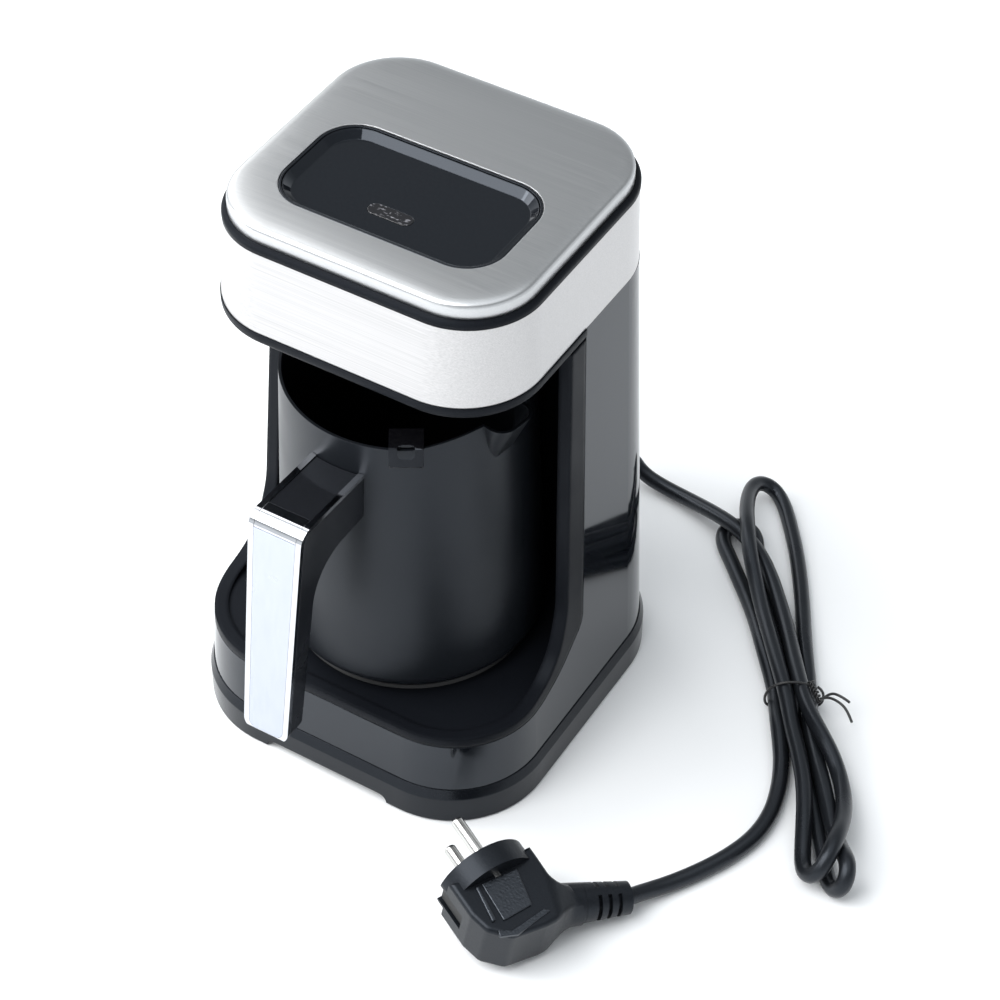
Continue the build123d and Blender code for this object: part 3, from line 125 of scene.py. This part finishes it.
# Finishes, one for each material slot
# tones: the darkest and the lightest colour; gloss: the lowest and the highest roughness
# grain: specks to a metre along X, Y and Z; depth: how deep they are, in mm
# range: part of the pattern that runs from one tone to the other; smudge: patches to a metre
# edge: rounding of edges, in mm; rings: centre of turned rings, in metres
# shine: strength of the reflection; cool: its tint; metal: 1 for bare metal
coolShine = (0.80, 0.88, 1.0)
finishes = {
    "shell_black": {
        "tones": ((0.004, 0.005, 0.007), (0.006, 0.007, 0.009)), "gloss": (0.03, 0.07),
        "grain": (900, 900, 900), "depth": 0.001, "edge": 0.5, "smudge": 30, "cool": coolShine,
    },
    "liner_black": {
        "tones": ((0.005, 0.006, 0.008), (0.008, 0.009, 0.012)), "gloss": (0.36, 0.44),
        "shine": 0.09, "grain": (2600, 2600, 2600), "depth": 0.008, "edge": 2.2, "smudge": 40,
        "cool": coolShine,
    },
    "head_steel": {
        "tones": ((0.53, 0.54, 0.55), (0.59, 0.595, 0.6)), "gloss": (0.28, 0.34), "metal": 1.0,
        "grain": (10, 3600, 3600), "depth": 0.0012, "edge": 0.5,
    },
    "panel_black": {
        "tones": ((0.003, 0.004, 0.006), (0.005, 0.006, 0.008)), "gloss": (0.02, 0.06),
        "grain": (900, 900, 900), "depth": 0.001, "edge": 0.4, "smudge": 45, "cool": coolShine,
    },
    "lens_grey": {
        "tones": ((0.01, 0.01, 0.012), (0.24, 0.24, 0.26)), "gloss": (0.06, 0.14),
        "grain": (520, 900, 900), "depth": 0.01, "range": (0.56, 0.74),
    },
    "pot_black": {
        "tones": ((0.004, 0.005, 0.007), (0.007, 0.008, 0.01)), "gloss": (0.34, 0.42),
        "shine": 0.32, "grain": (3000, 3000, 3000), "depth": 0.005, "edge": 0.3, "smudge": 30,
        "cool": coolShine,
    },
    "pot_steel": {
        "tones": ((0.45, 0.45, 0.45), (0.6, 0.6, 0.6)), "gloss": (0.25, 0.35), "metal": 1.0,
        "grain": (60, 1800, 60), "depth": 0.004, "edge": 0.3,
    },
    "disc_aluminium": {
        "tones": ((0.55, 0.55, 0.55), (0.75, 0.75, 0.75)), "gloss": (0.25, 0.38), "metal": 1.0,
        "rings": (0, 0.0072), "depth": 0.01, "edge": 0.3,
    },
    "grip_black": {
        "tones": ((0.006, 0.007, 0.009), (0.009, 0.01, 0.013)), "gloss": (0.2, 0.28),
        "shine": 0.4, "grain": (2400, 2400, 2400), "depth": 0.003, "edge": 0.5, "smudge": 60,
        "cool": coolShine,
    },
    # painted reflection: the thumb rest's black is a little lighter than the grip's, standing in
    # for the sky mirrored in its top
    "thumb_black": {
        "tones": ((0.01, 0.011, 0.013), (0.013, 0.014, 0.017)), "gloss": (0.08, 0.14),
        "grain": (900, 900, 900), "depth": 0.001, "smudge": 80, "cool": coolShine,
    },
    "handle_chrome": {
        "tones": ((0.62, 0.63, 0.66), (0.68, 0.69, 0.72)), "gloss": (0.06, 0.1), "metal": 1.0,
        "grain": (300, 300, 300), "depth": 0.0004, "smudge": 70,
    },
    "plate_silver": {
        "tones": ((0.49, 0.52, 0.6), (0.52, 0.55, 0.63)), "gloss": (0.22, 0.28), "metal": 0.9,
        "grain": (600, 600, 60), "depth": 0.0006, "smudge": 50,
    },
    "hot_plate_metal": {
        "tones": ((0.03, 0.03, 0.031), (0.055, 0.054, 0.053)), "gloss": (0.45, 0.6), "metal": 0.4,
        "rings": (0, 0.0072), "depth": 0.02, "edge": 0.4,
    },
    "seal_silicone": {
        "tones": ((0.015, 0.015, 0.016), (0.024, 0.024, 0.025)), "gloss": (0.5, 0.62),
        "grain": (1500, 1500, 1500), "depth": 0.01, "edge": 0.3,
    },
    "foot_rubber": {
        "tones": ((0.02, 0.02, 0.021), (0.034, 0.034, 0.035)), "gloss": (0.6, 0.75),
        "grain": (1800, 1800, 1800), "depth": 0.02, "edge": 0.4,
    },
    "screw_steel": {
        "tones": ((0.45, 0.46, 0.47), (0.62, 0.63, 0.64)), "gloss": (0.25, 0.4), "metal": 1.0,
        "grain": (1400, 1400, 1400), "depth": 0.006, "edge": 0.2,
    },
    "bracket_steel": {
        "tones": ((0.42, 0.43, 0.44), (0.58, 0.59, 0.6)), "gloss": (0.3, 0.45), "metal": 1.0,
        "grain": (700, 700, 700), "depth": 0.01, "edge": 0.2,
    },
    "heater_sheath": {
        "tones": ((0.2, 0.17, 0.15), (0.42, 0.38, 0.33)), "gloss": (0.3, 0.5), "metal": 1.0,
        "grain": (160, 160, 160), "depth": 0.01,
    },
    "thermostat_metal": {
        "tones": ((0.5, 0.5, 0.5), (0.66, 0.66, 0.66)), "gloss": (0.28, 0.4), "metal": 1.0,
        "grain": (900, 900, 900), "depth": 0.01, "edge": 0.2,
    },
    "fuse_sleeve": {
        "tones": ((0.55, 0.52, 0.44), (0.86, 0.84, 0.76)), "gloss": (0.7, 0.85),
        "grain": (1600, 500, 500), "depth": 0.08,
    },
    "board_green": {
        "tones": ((0.012, 0.09, 0.035), (0.035, 0.17, 0.07)), "gloss": (0.25, 0.4),
        "grain": (240, 60, 240), "depth": 0.02,
    },
    "relay_blue": {
        "tones": ((0.025, 0.07, 0.24), (0.04, 0.1, 0.31)), "gloss": (0.35, 0.5),
        "grain": (1500, 1500, 1500), "depth": 0.01, "edge": 0.2,
    },
    "capacitor_yellow": {
        "tones": ((0.52, 0.33, 0.03), (0.68, 0.46, 0.07)), "gloss": (0.35, 0.5),
        "grain": (1500, 1500, 1500), "depth": 0.01, "edge": 0.2,
    },
    "terminal_white": {
        "tones": ((0.62, 0.62, 0.59), (0.76, 0.76, 0.73)), "gloss": (0.4, 0.5),
        "grain": (1500, 1500, 1500), "depth": 0.01, "edge": 0.2,
    },
    "switch_black": {
        "tones": ((0.012, 0.012, 0.012), (0.022, 0.022, 0.022)), "gloss": (0.4, 0.5),
        "grain": (1800, 1800, 1800), "depth": 0.01, "edge": 0.2,
    },
    "plunger_red": {
        "tones": ((0.36, 0.02, 0.015), (0.52, 0.04, 0.03)), "gloss": (0.35, 0.45),
        "grain": (1800, 1800, 1800), "depth": 0.01, "edge": 0.2,
    },
    "lamp_clear": {
        "tones": ((0.78, 0.78, 0.8), (0.92, 0.92, 0.94)), "gloss": (0.05, 0.1),
        "grain": (700, 700, 700), "depth": 0.002,
    },
    "sensor_smoke": {
        "tones": ((0.02, 0.008, 0.008), (0.04, 0.018, 0.018)), "gloss": (0.05, 0.1),
        "grain": (700, 700, 700), "depth": 0.002,
    },
    "spring_steel": {
        "tones": ((0.4, 0.4, 0.41), (0.56, 0.56, 0.57)), "gloss": (0.2, 0.35), "metal": 1.0,
        "grain": (1200, 1200, 1200), "depth": 0.01,
    },
    "wire_cores": {
        "tones": ((0.2, 0.07, 0.025), (0.36, 0.14, 0.06)), "gloss": (0.35, 0.5),
        "grain": (600, 600, 600), "depth": 0.01,
    },
    "wire_sleeves": {
        "tones": ((0.46, 0.46, 0.44), (0.64, 0.64, 0.61)), "gloss": (0.45, 0.6),
        "grain": (900, 900, 900), "depth": 0.02,
    },
    "cord_black": {
        "tones": ((0.006, 0.007, 0.009), (0.01, 0.011, 0.013)), "gloss": (0.26, 0.36),
        "shine": 0.4, "grain": (1300, 1300, 1300), "depth": 0.01, "smudge": 60, "cool": coolShine,
    },
    "plug_black": {
        "tones": ((0.004, 0.005, 0.007), (0.007, 0.008, 0.01)), "gloss": (0.3, 0.4),
        "shine": 0.32, "grain": (1500, 1500, 1500), "depth": 0.05, "cool": coolShine,
    },
    "pin_nickel": {
        "tones": ((0.6, 0.59, 0.57), (0.66, 0.65, 0.63)), "gloss": (0.14, 0.2), "metal": 1.0,
        "grain": (300, 300, 300), "depth": 0.0003, "edge": 0.2,
    },
    "tie_black": {
        "tones": ((0.012, 0.012, 0.013), (0.02, 0.02, 0.021)), "gloss": (0.3, 0.4),
        "grain": (1500, 1500, 1500), "depth": 0.01,
    },
}

# Second finishes for single nodes or pieces of a slot
finishes["plug_grain"] = dict(finishes["plug_black"], gloss=(0.26, 0.36), shine=0.8,
                              grain=(1000, 1000, 1000), depth=0.2)
finishes["skirt_satin"] = dict(finishes["shell_black"], gloss=(0.20, 0.27), shine=0.26)
# painted shade: the steel band takes the lid's steel made darker and slightly warm, standing in for
# the shade and the warm reflection on the band
finishes["shaded_band_steel"] = dict(finishes["head_steel"],
                              tones=((0.47, 0.465, 0.465), (0.59, 0.58, 0.58)))
finishes["tab_black"] = dict(finishes["thumb_black"], shine=0.25,
                             tones=((0.003, 0.003, 0.004), (0.005, 0.005, 0.006)))
# painted shade: the plug's earth clips take the pins' nickel darkened almost to black
finishes["shaded_clip_nickel"] = dict(finishes["pin_nickel"], gloss=(0.4, 0.5),
                             tones=((0.03, 0.03, 0.03), (0.05, 0.05, 0.05)))
# the steel band and the plug's earth clips take finishes with painted shade
nodeFinishes = {"base_skirt": "skirt_satin", "plug_earth_clips": "shaded_clip_nickel",
                "steel_band": "shaded_band_steel"}
pattern = {"grainDetail": 3.0, "smudgeDetail": 2.0, "range": (0.3, 0.7), "ringScale": 300,
           "ringWobble": 0.4, "edgeSamples": 4}


# A noise that is stretched on the object's own coordinates
def addNoise(tree, stretch, detail):
    place = tree.nodes.new("ShaderNodeTexCoord")
    turn = tree.nodes.new("ShaderNodeMapping")
    turn.inputs["Scale"].default_value = stretch
    noise = tree.nodes.new("ShaderNodeTexNoise")
    noise.inputs["Scale"].default_value = 1.0
    noise.inputs["Detail"].default_value = detail
    tree.links.new(place.outputs["Object"], turn.inputs["Vector"])
    tree.links.new(turn.outputs["Vector"], noise.inputs["Vector"])
    return noise.outputs["Fac"]


# Turned rings about an upright axis
def addRings(tree, centre):
    place = tree.nodes.new("ShaderNodeTexCoord")
    turn = tree.nodes.new("ShaderNodeMapping")
    turn.inputs["Location"].default_value = (-centre[0], -centre[1], 0)
    turn.inputs["Scale"].default_value = (1, 1, 0)
    rings = tree.nodes.new("ShaderNodeTexWave")
    rings.wave_type = "RINGS"
    rings.rings_direction = "SPHERICAL"
    rings.inputs["Scale"].default_value = pattern["ringScale"]
    rings.inputs["Distortion"].default_value = pattern["ringWobble"]
    tree.links.new(place.outputs["Object"], turn.inputs["Vector"])
    tree.links.new(turn.outputs["Vector"], rings.inputs["Vector"])
    return rings.outputs["Fac"]


# Takes part of a pattern's range to low..high
def spread(tree, fac, low, high, part=pattern["range"]):
    ramp = tree.nodes.new("ShaderNodeMapRange")
    ramp.inputs["From Min"].default_value = part[0]
    ramp.inputs["From Max"].default_value = part[1]
    ramp.inputs["To Min"].default_value = low
    ramp.inputs["To Max"].default_value = high
    tree.links.new(fac, ramp.inputs["Value"])
    return ramp.outputs["Result"]


def makeFinish(name, look):
    finish = bpy.data.materials.new("finish_" + name)
    finish.use_nodes = True
    tree = finish.node_tree
    shader = tree.nodes["Principled BSDF"]
    shader.inputs["Metallic"].default_value = look.get("metal", 0.0)
    shader.inputs["Specular IOR Level"].default_value = look.get("shine", 0.5)
    shader.inputs["Specular Tint"].default_value = (*look.get("cool", (1, 1, 1)), 1)
    if "rings" in look:
        grain = addRings(tree, look["rings"])
    else:
        grain = addNoise(tree, look["grain"], pattern["grainDetail"])
    tint = tree.nodes.new("ShaderNodeMix")
    tint.data_type = "RGBA"
    tint.inputs[6].default_value = (*look["tones"][0], 1)
    tint.inputs[7].default_value = (*look["tones"][1], 1)
    share = spread(tree, grain, 0, 1, look.get("range", pattern["range"]))
    tree.links.new(share, tint.inputs["Factor"])
    tree.links.new(tint.outputs[2], shader.inputs["Base Color"])
    wear = grain
    if "smudge" in look:
        wear = addNoise(tree, (look["smudge"],) * 3, pattern["smudgeDetail"])
    tree.links.new(spread(tree, wear, *look["gloss"]), shader.inputs["Roughness"])
    bump = tree.nodes.new("ShaderNodeBump")
    bump.inputs["Strength"].default_value = 1.0
    bump.inputs["Distance"].default_value = look["depth"] * mm
    tree.links.new(grain, bump.inputs["Height"])
    if "edge" in look:
        rounding = tree.nodes.new("ShaderNodeBevel")
        rounding.samples = pattern["edgeSamples"]
        rounding.inputs["Radius"].default_value = look["edge"] * mm
        tree.links.new(rounding.outputs["Normal"], bump.inputs["Normal"])
    tree.links.new(bump.outputs["Normal"], shader.inputs["Normal"])
    return finish


finished = {name: makeFinish(name, look) for name, look in finishes.items()}
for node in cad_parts.values():
    for slot in node.material_slots:
        slot.material = finished[slot.material.name]
for node, finish in nodeFinishes.items():
    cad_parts[node].material_slots[0].material = finished[finish]
print("finishes on", len(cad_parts), "nodes")


# Links a new piece, gives it its finish and the body it rides on
def addPiece(name, data, finish, body, *nodes, slot=None):
    piece = bpy.data.objects.new(name, data)
    scene.collection.objects.link(piece)
    piece.data.materials.append(finished[finish])
    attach(piece, body)
    if nodes:
        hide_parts(*nodes)
    return piece


# Mains lead, tied in a loose hank beside the machine
lead = {"diameter": 6.5, "length": 1.2, "exit": (0, 108, 28.5), "roundness": 6}  # mm; length in m
strandSteps = 8
leadPath = [  # mm
    # out of the back and down to the floor
    (0, 108, 28.5), (0, 126, 28.5), (6.5, 141.5, 23), (19.7, 149.6, 13.8),
    # along the floor to the tie
    (26.5, 148.8, 6.9), (37.3, 148.4, 4.6), (50.8, 146.6, 5.3), (63.6, 142.5, 8.5),
    (74.8, 138.3, 11), (84.9, 134.4, 10.7), (94.5, 128.3, 10.5), (104.4, 119, 9.8),
    (114.7, 107.2, 9.4), (124.8, 94.4, 9.7), (133.4, 82.3, 11.1), (143.4, 69.2, 11.5),
    # first loop in front, out
    (152.5, 58.7, 12.9), (161.1, 51.7, 12.6), (168.5, 46, 10.9), (175.2, 39.3, 8.9),
    (181.4, 30.1, 9.9), (186.3, 18.7, 13.3), (189.2, 7.1, 18), (190.5, -2.1, 18.3),
    (190.3, -7.6, 14.3), (187.7, -9.2, 9.7), (183.7, -7.5, 6.7), (180.4, -3, 6.2),
    # and back
    (177.4, 3.2, 7.3), (174, 10.4, 8.2), (170.1, 18.7, 9.1), (165.7, 27, 9.6),
    (160.5, 35.1, 10), (154.5, 43.3, 10), (146.7, 53.3, 10), (137.2, 66.7, 11.1),
    # tall loop behind, up its left side
    (127.6, 78.2, 11.3), (119.8, 87.9, 11), (112.6, 96.7, 10.8), (105.8, 105.1, 11.1),
    (99.6, 112.8, 12.8), (94.1, 119.3, 15.7), (89.6, 125.4, 17.7), (84.5, 134, 17.9),
    (78, 145.9, 14.8), (72.9, 158.2, 10.9), (71.7, 167, 9.1), (75, 171.4, 6.7),
    (80.4, 171.6, 4.1),
    # and down its right side
    (87.4, 165.6, 3.2), (95.3, 155.3, 3.4), (102.9, 145, 3.4), (110.2, 133.7, 3.4),
    (117.8, 121.2, 3.2), (125, 108.2, 3.7), (132.4, 94.8, 4.9), (142.9, 77.8, 3.3),
    (148, 68.7, 4.8),
    # second loop in front, out
    (151, 60.8, 6.1), (156.2, 53.1, 6.3), (162.1, 45.2, 6.9), (168.6, 36.5, 7.9),
    (175.8, 26.9, 7.6), (182.5, 17.8, 7.2), (189.7, 8.5, 9.9), (196.8, 0.2, 15.4),
    (199.6, -4.9, 13.8), (199.4, -7.8, 9.2), (196.5, -7.5, 4.6), (192, -4.1, 3.3),
    # and back
    (186.8, 2.8, 4.2), (180.9, 11, 3.6), (174.6, 19.8, 3.3), (168.3, 29.2, 3.3),
    (161.4, 37.7, 3.3), (154.7, 45.5, 3.3), (148, 54.4, 3.2), (142.2, 64.7, 3.7),
    (137, 74, 3.1),
    # short loop behind, out
    (126.3, 87.1, 4.5), (118.3, 97.4, 3.7), (110.7, 106.7, 3.3), (103.4, 115.6, 3.3),
    (96.3, 124.6, 3.3), (90.2, 133.9, 3.4), (85.2, 143, 3.2), (79.6, 146.5, 3.7),
    (73.9, 144.8, 4), (71.4, 139.5, 3.6),
    # and back
    (74.1, 133.1, 3.3), (81.8, 125.9, 3.3), (90.2, 117.6, 3.3), (98.6, 109.4, 3.3),
    (106.6, 100.5, 3.9), (115.7, 88.9, 5.2), (130.7, 71.2, 3.3), (136.5, 61.4, 4.4),
    # the end that runs to the plug
    (140.5, 54.6, 5.5), (146.1, 46, 4.6), (151.5, 36.6, 3.9), (156, 25.3, 3.3),
    (158.8, 13.1, 3.3), (158.6, 0.5, 3.3), (154.7, -12.4, 3.3), (148.5, -25.2, 3.4),
    (141.4, -37, 3.8), (136.1, -45.7, 5.5), (132.5, -53.1, 7.8),
]


# Smooth round strands through runs of points, in mm
def addCurve(name, runs, radius, roundness):
    curve = bpy.data.curves.new(name, "CURVE")
    curve.dimensions = "3D"
    curve.bevel_depth = radius * mm
    curve.bevel_resolution = roundness
    curve.resolution_u = strandSteps
    curve.use_fill_caps = True
    for run in runs:
        strand = curve.splines.new("NURBS")
        strand.points.add(len(run) - 1)
        for spot, place in zip(strand.points, run):
            spot.co = (*(value * mm for value in place), 1)
        strand.order_u = 3
        strand.use_endpoint_u = True
        strand.resolution_u = strandSteps
    return curve


leadData = addCurve("mainsLead", [leadPath], lead["diameter"] / 2, lead["roundness"])
leadCord = addPiece("mainsLead", leadData, "cord_black", "housing",
                    "cord_start", "cord_tail", "cord_hank")

# Wire tie round the hank
tie = {
    "wire": 0.55, "roundness": 3, "centre": (139.9, 69.0), "across": (0.866, 0.5),
    "ring": (  # across the hank, height
        (6.0, 13.4), (4.0, 14.6), (0.0, 15.4), (-5.0, 14.9), (-9.2, 12.2), (-11.2, 8.0),
        (-11.4, 4.2), (-10.2, 1.0), (-5.0, 0.6), (2.0, 0.6), (9.0, 0.6), (11.6, 2.6),
        (12.2, 6.6), (11.4, 10.6), (9.4, 12.6),
    ),
    "knot": {"points": 13, "turn": math.pi / 2.2, "radius": 1.1, "start": (6.6, 14.2, -1.5),
             "step": (0.24, -0.1, 0.75)},
    "tails": (
        ((153.0, 73.5, 13.0), (158.5, 74.6, 12.2), (162.2, 73.2, 12.4)),
        ((153.5, 71.0, 13.0), (159.0, 71.6, 12.0), (163.4, 69.8, 10.8), (166.7, 66.8, 9.4)),
    ),
}


# From across the hank, height and along the hank to X, Y and Z, in mm
def atTie(across, height, along=0.0):
    x = tie["centre"][0] + across * tie["across"][0] + along * tie["across"][1]
    y = tie["centre"][1] + across * tie["across"][1] - along * tie["across"][0]
    return (x, y, height)


# One of the two wires that are twisted round each other
def twistWire(phase):
    knot = tie["knot"]
    run = []
    for step in range(knot["points"]):
        angle = phase + step * knot["turn"]
        across, height, along = (
            start + step * move for start, move in zip(knot["start"], knot["step"]))
        run.append(atTie(across + knot["radius"] * math.cos(angle),
                         height + knot["radius"] * math.sin(angle), along))
    return run


knotRuns = [twistWire(0.0), twistWire(math.pi)]
tailRuns = [[knot[-1], *tail] for knot, tail in zip(knotRuns, tie["tails"])]
ringRun = [atTie(across, height) for across, height in tie["ring"]]
tieData = addCurve("wireTie", [ringRun] + knotRuns + tailRuns, tie["wire"], tie["roundness"])
tieWire = addPiece("wireTie", tieData, "tie_black", "housing", "twist_tie")
print("lead and tie made")

# How soft copies are made: lengths in mm, angles in degrees
care = {"merge": 0.002, "flatAngle": 0.4, "sharpAngle": 28, "shadeAngle": 38}


# Keeps flat faces flat in their shading, beside rounded edges and sharp ones
def evenShade(piece):
    sharpAngle = math.radians(care["shadeAngle"])
    shape = bmesh.new()
    shape.from_mesh(piece.data)
    for edge in shape.edges:
        edge.smooth = not edge.is_manifold or edge.calc_face_angle() < sharpAngle
    for face in shape.faces:
        face.smooth = True
    shape.to_mesh(piece.data)
    shape.free()
    piece.modifiers.new("evenShade", "WEIGHTED_NORMAL").keep_sharp = True
    return piece


# A CAD node's shape with its sharp edges rounded
def softCopy(name, node, radius, finish, body, segments=2, slot=None):
    data = bpy.data.meshes.new(name)
    shape = bmesh.new()
    shape.from_mesh(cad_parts[node].data)
    bmesh.ops.remove_doubles(shape, verts=shape.verts, dist=care["merge"] * mm)
    bmesh.ops.dissolve_limit(shape, angle_limit=math.radians(care["flatAngle"]),
                             verts=shape.verts, edges=shape.edges)
    sharpAngle = math.radians(care["sharpAngle"])
    sharp = [edge for edge in shape.edges
             if edge.is_manifold and edge.calc_face_angle() > sharpAngle]
    bmesh.ops.bevel(shape, geom=sharp, offset=radius * mm, segments=segments, profile=0.5,
                    affect="EDGES", clamp_overlap=True, material=-1)
    for face in shape.faces:
        face.material_index = 0
    shape.to_mesh(data)
    shape.free()
    return addPiece(name, data, finish, body, node, slot=slot)


softEdges = {  # node: radius in mm, finish, slot
    "handle_frame": (1.1, "handle_chrome", None),
    "handle_cap": (0.45, "handle_chrome", None),
    "front_plate": (0.4, "plate_silver", None),
    "thumb_rest": (0.3, "thumb_black", None),
    "rim_tab": (0.35, "tab_black", "pot_steel"),
}
for node, (radius, finish, slot) in softEdges.items():
    evenShade(softCopy("soft_" + node, node, radius, finish, "pot", slot=slot))
print("soft edges made")

# Pressed steel lid with a crowned edge and the window's opening
lid = {
    # width, depth, corner radius, middle along Y
    "plan": (121.2, 114.0, 26.9, 25.4),
    "window": (90.3, 51.7, 15.75, 11.2),
    "foot": 235.4, "steel": 0.8, "cornerSteps": 14,
    # inset from the outline, height
    "rings": ((0.0, 239.6), (0.2, 240.6), (0.7, 241.25), (1.7, 241.66), (3.4, 241.9), (6.0, 242.07),
              (9.5, 242.17), (13.0, 242.2), (13.6, 242.2)),
}


# A flat rounded rectangle with one face, in mm
def addRoundedFace(shape, width, depth, radius, y, z):
    place = Matrix.Translation((0, y * mm, z * mm))
    place = place @ Matrix.Diagonal((width * mm, depth * mm, 1, 1))
    flat = bmesh.ops.create_grid(shape, x_segments=1, y_segments=1, size=0.5, matrix=place)
    bmesh.ops.bevel(shape, geom=flat["verts"], offset=radius * mm, segments=lid["cornerSteps"],
                    profile=0.5, affect="VERTICES", clamp_overlap=False, material=-1)


def makeLid():
    shape = bmesh.new()
    addRoundedFace(shape, *lid["plan"], lid["foot"])
    crown = shape.faces[:]
    inset, height = 0.0, lid["foot"]
    raised = bmesh.ops.extrude_face_region(shape, geom=crown)["geom"]
    bmesh.ops.delete(shape, geom=crown, context="FACES_ONLY")
    crown = [item for item in raised if isinstance(item, bmesh.types.BMFace)]
    for ringInset, ringHeight in lid["rings"]:
        if ringInset > inset:
            bmesh.ops.inset_region(shape, faces=crown, thickness=(ringInset - inset) * mm,
                                   use_even_offset=True)
        bmesh.ops.translate(shape, verts=list({vert for face in crown for vert in face.verts}),
                            vec=(0, 0, (ringHeight - height) * mm))
        inset, height = ringInset, ringHeight
    rim = [edge for face in crown for edge in face.edges]
    bmesh.ops.delete(shape, geom=crown, context="FACES_ONLY")
    known = set(shape.faces)
    addRoundedFace(shape, *lid["window"], height)
    opening = [face for face in shape.faces if face not in known]
    sill = [edge for face in opening for edge in face.edges]
    bmesh.ops.delete(shape, geom=opening, context="FACES_ONLY")
    bmesh.ops.bridge_loops(shape, edges=rim + sill)
    bmesh.ops.recalc_face_normals(shape, faces=shape.faces)
    if max(shape.faces, key=lambda face: face.calc_center_median().z).normal.z < 0:
        bmesh.ops.reverse_faces(shape, faces=shape.faces)
    bmesh.ops.solidify(shape, geom=shape.faces[:], thickness=lid["steel"] * mm)
    data = bpy.data.meshes.new("steelLid")
    shape.to_mesh(data)
    shape.free()
    return evenShade(addPiece("steelLid", data, "head_steel", "housing", "lid_plate"))


steelLid = makeLid()
print("lid made:", len(steelLid.data.vertices), "points")

# Plug body with softened edges, its raised grip and ridge
plug = {
    "spot": (84.3, -80.0, 19.9),
    "back": (0.8909, -0.4269, -0.1550), "up": (0.1709, -0.0010, 0.9853),
    "rounding": 1.0, "roundSteps": 3,
    # ends of the neck's axis, and how the body narrows to it
    "neckFoot": (12.0, -1.0, 22.6), "neckTip": (45.5, -3.8, 33.4),
    "neckRadius": 8.3, "neckRun": 13.5, "neckRings": 6, "neckCuts": 10,
    "face": 10.9,  # height of the foot of the grip's pads
    "padSteps": 3,
    "pads": (  # outline across and along the plug, height over the middle, edge rounding
        (((-7.8, 9.9), (7.6, 10.4), (4.2, 26.0), (-8.8, 26.8)), 12.5, 0.55),
        (((-10.6, 10.4), (-9.2, 10.4), (-11.2, 25.2), (-12.9, 25.4)), 12.9, 0.5),
        (((-12.6, 29.0), (-8.0, 31.4), (7.0, 29.2), (9.0, 31.2), (-7.0, 34.0), (-13.6, 31.6)),
         12.2, 0.4),
    ),
}
plugBack = Vector(plug["back"]).normalized()
plugUp = Vector(plug["up"])
plugUp = (plugUp - plugBack * plugBack.dot(plugUp)).normalized()
plugAxes = Matrix((plugUp.cross(plugBack), plugUp, plugBack)).transposed().to_4x4()
plugPlace = Matrix.Translation([v * mm for v in plug["spot"]]) @ plugAxes


# A raised pad with rounded edges, in the plug's own frame
def addPad(shape, outline, top, rounding):
    spots = [shape.verts.new((x * mm, plug["face"] * mm, z * mm)) for x, z in outline]
    base = shape.faces.new(spots)
    raised = bmesh.ops.extrude_face_region(shape, geom=[base], use_keep_orig=True)["geom"]
    tops = [item for item in raised if isinstance(item, bmesh.types.BMVert)]
    bmesh.ops.translate(shape, verts=tops, vec=(0, (top - plug["face"]) * mm, 0))
    edges = [edge for edge in shape.edges if any(vert in tops for vert in edge.verts)]
    bmesh.ops.bevel(shape, geom=edges, offset=rounding * mm, segments=plug["padSteps"],
                    profile=0.5, affect="EDGES", clamp_overlap=True, material=-1)


# Draws the body's end in to the round neck
def taperNeck(piece):
    foot = plugPlace @ (Vector(plug["neckFoot"]) * mm)
    way = (plugPlace @ (Vector(plug["neckTip"]) * mm) - foot).normalized()
    across = way.cross(plugUp).normalized()
    radius, run = plug["neckRadius"] * mm, plug["neckRun"] * mm
    shape = bmesh.new()
    shape.from_mesh(piece.data)
    rings = plug["neckRings"]
    cuts = [(foot + way * run * step / rings, way) for step in range(rings)]
    for step in range(plug["neckCuts"]):
        angle = math.pi * step / plug["neckCuts"]
        cuts.append((foot, across * math.cos(angle) + plugUp * math.sin(angle)))
    for spot, normal in cuts:
        end = [face for face in shape.faces
               if max((vert.co - foot).dot(way) for vert in face.verts) > 0]
        end = dict.fromkeys(item for face in end for item in (face, *face.edges, *face.verts))
        bmesh.ops.bisect_plane(shape, geom=list(end), dist=1e-7, plane_co=spot, plane_no=normal)
    for vert in shape.verts:
        along = (vert.co - foot).dot(way)
        middle = foot + way * along
        share = min(max(along / run, 0), 1)
        eased = share * share * (3 - 2 * share)
        reach = (vert.co - middle).length
        if reach > radius:
            vert.co = middle + (vert.co - middle) * (1 - eased * (1 - radius / reach))
    shape.to_mesh(piece.data)
    shape.free()
    return piece


softPlug = softCopy("softPlug", "plug_body", plug["rounding"], "plug_black", "housing",
                    segments=plug["roundSteps"])
evenShade(taperNeck(softPlug))
grip = bmesh.new()
for pad in plug["pads"]:
    addPad(grip, *pad)
bmesh.ops.transform(grip, matrix=plugPlace, verts=grip.verts)
bmesh.ops.recalc_face_normals(grip, faces=grip.faces)
gripData = bpy.data.meshes.new("plugGrip")
grip.to_mesh(gripData)
grip.free()
plugGrip = addPiece("plugGrip", gripData, "plug_grain", "housing", slot="plug_black")
evenShade(plugGrip)
print("plug made")
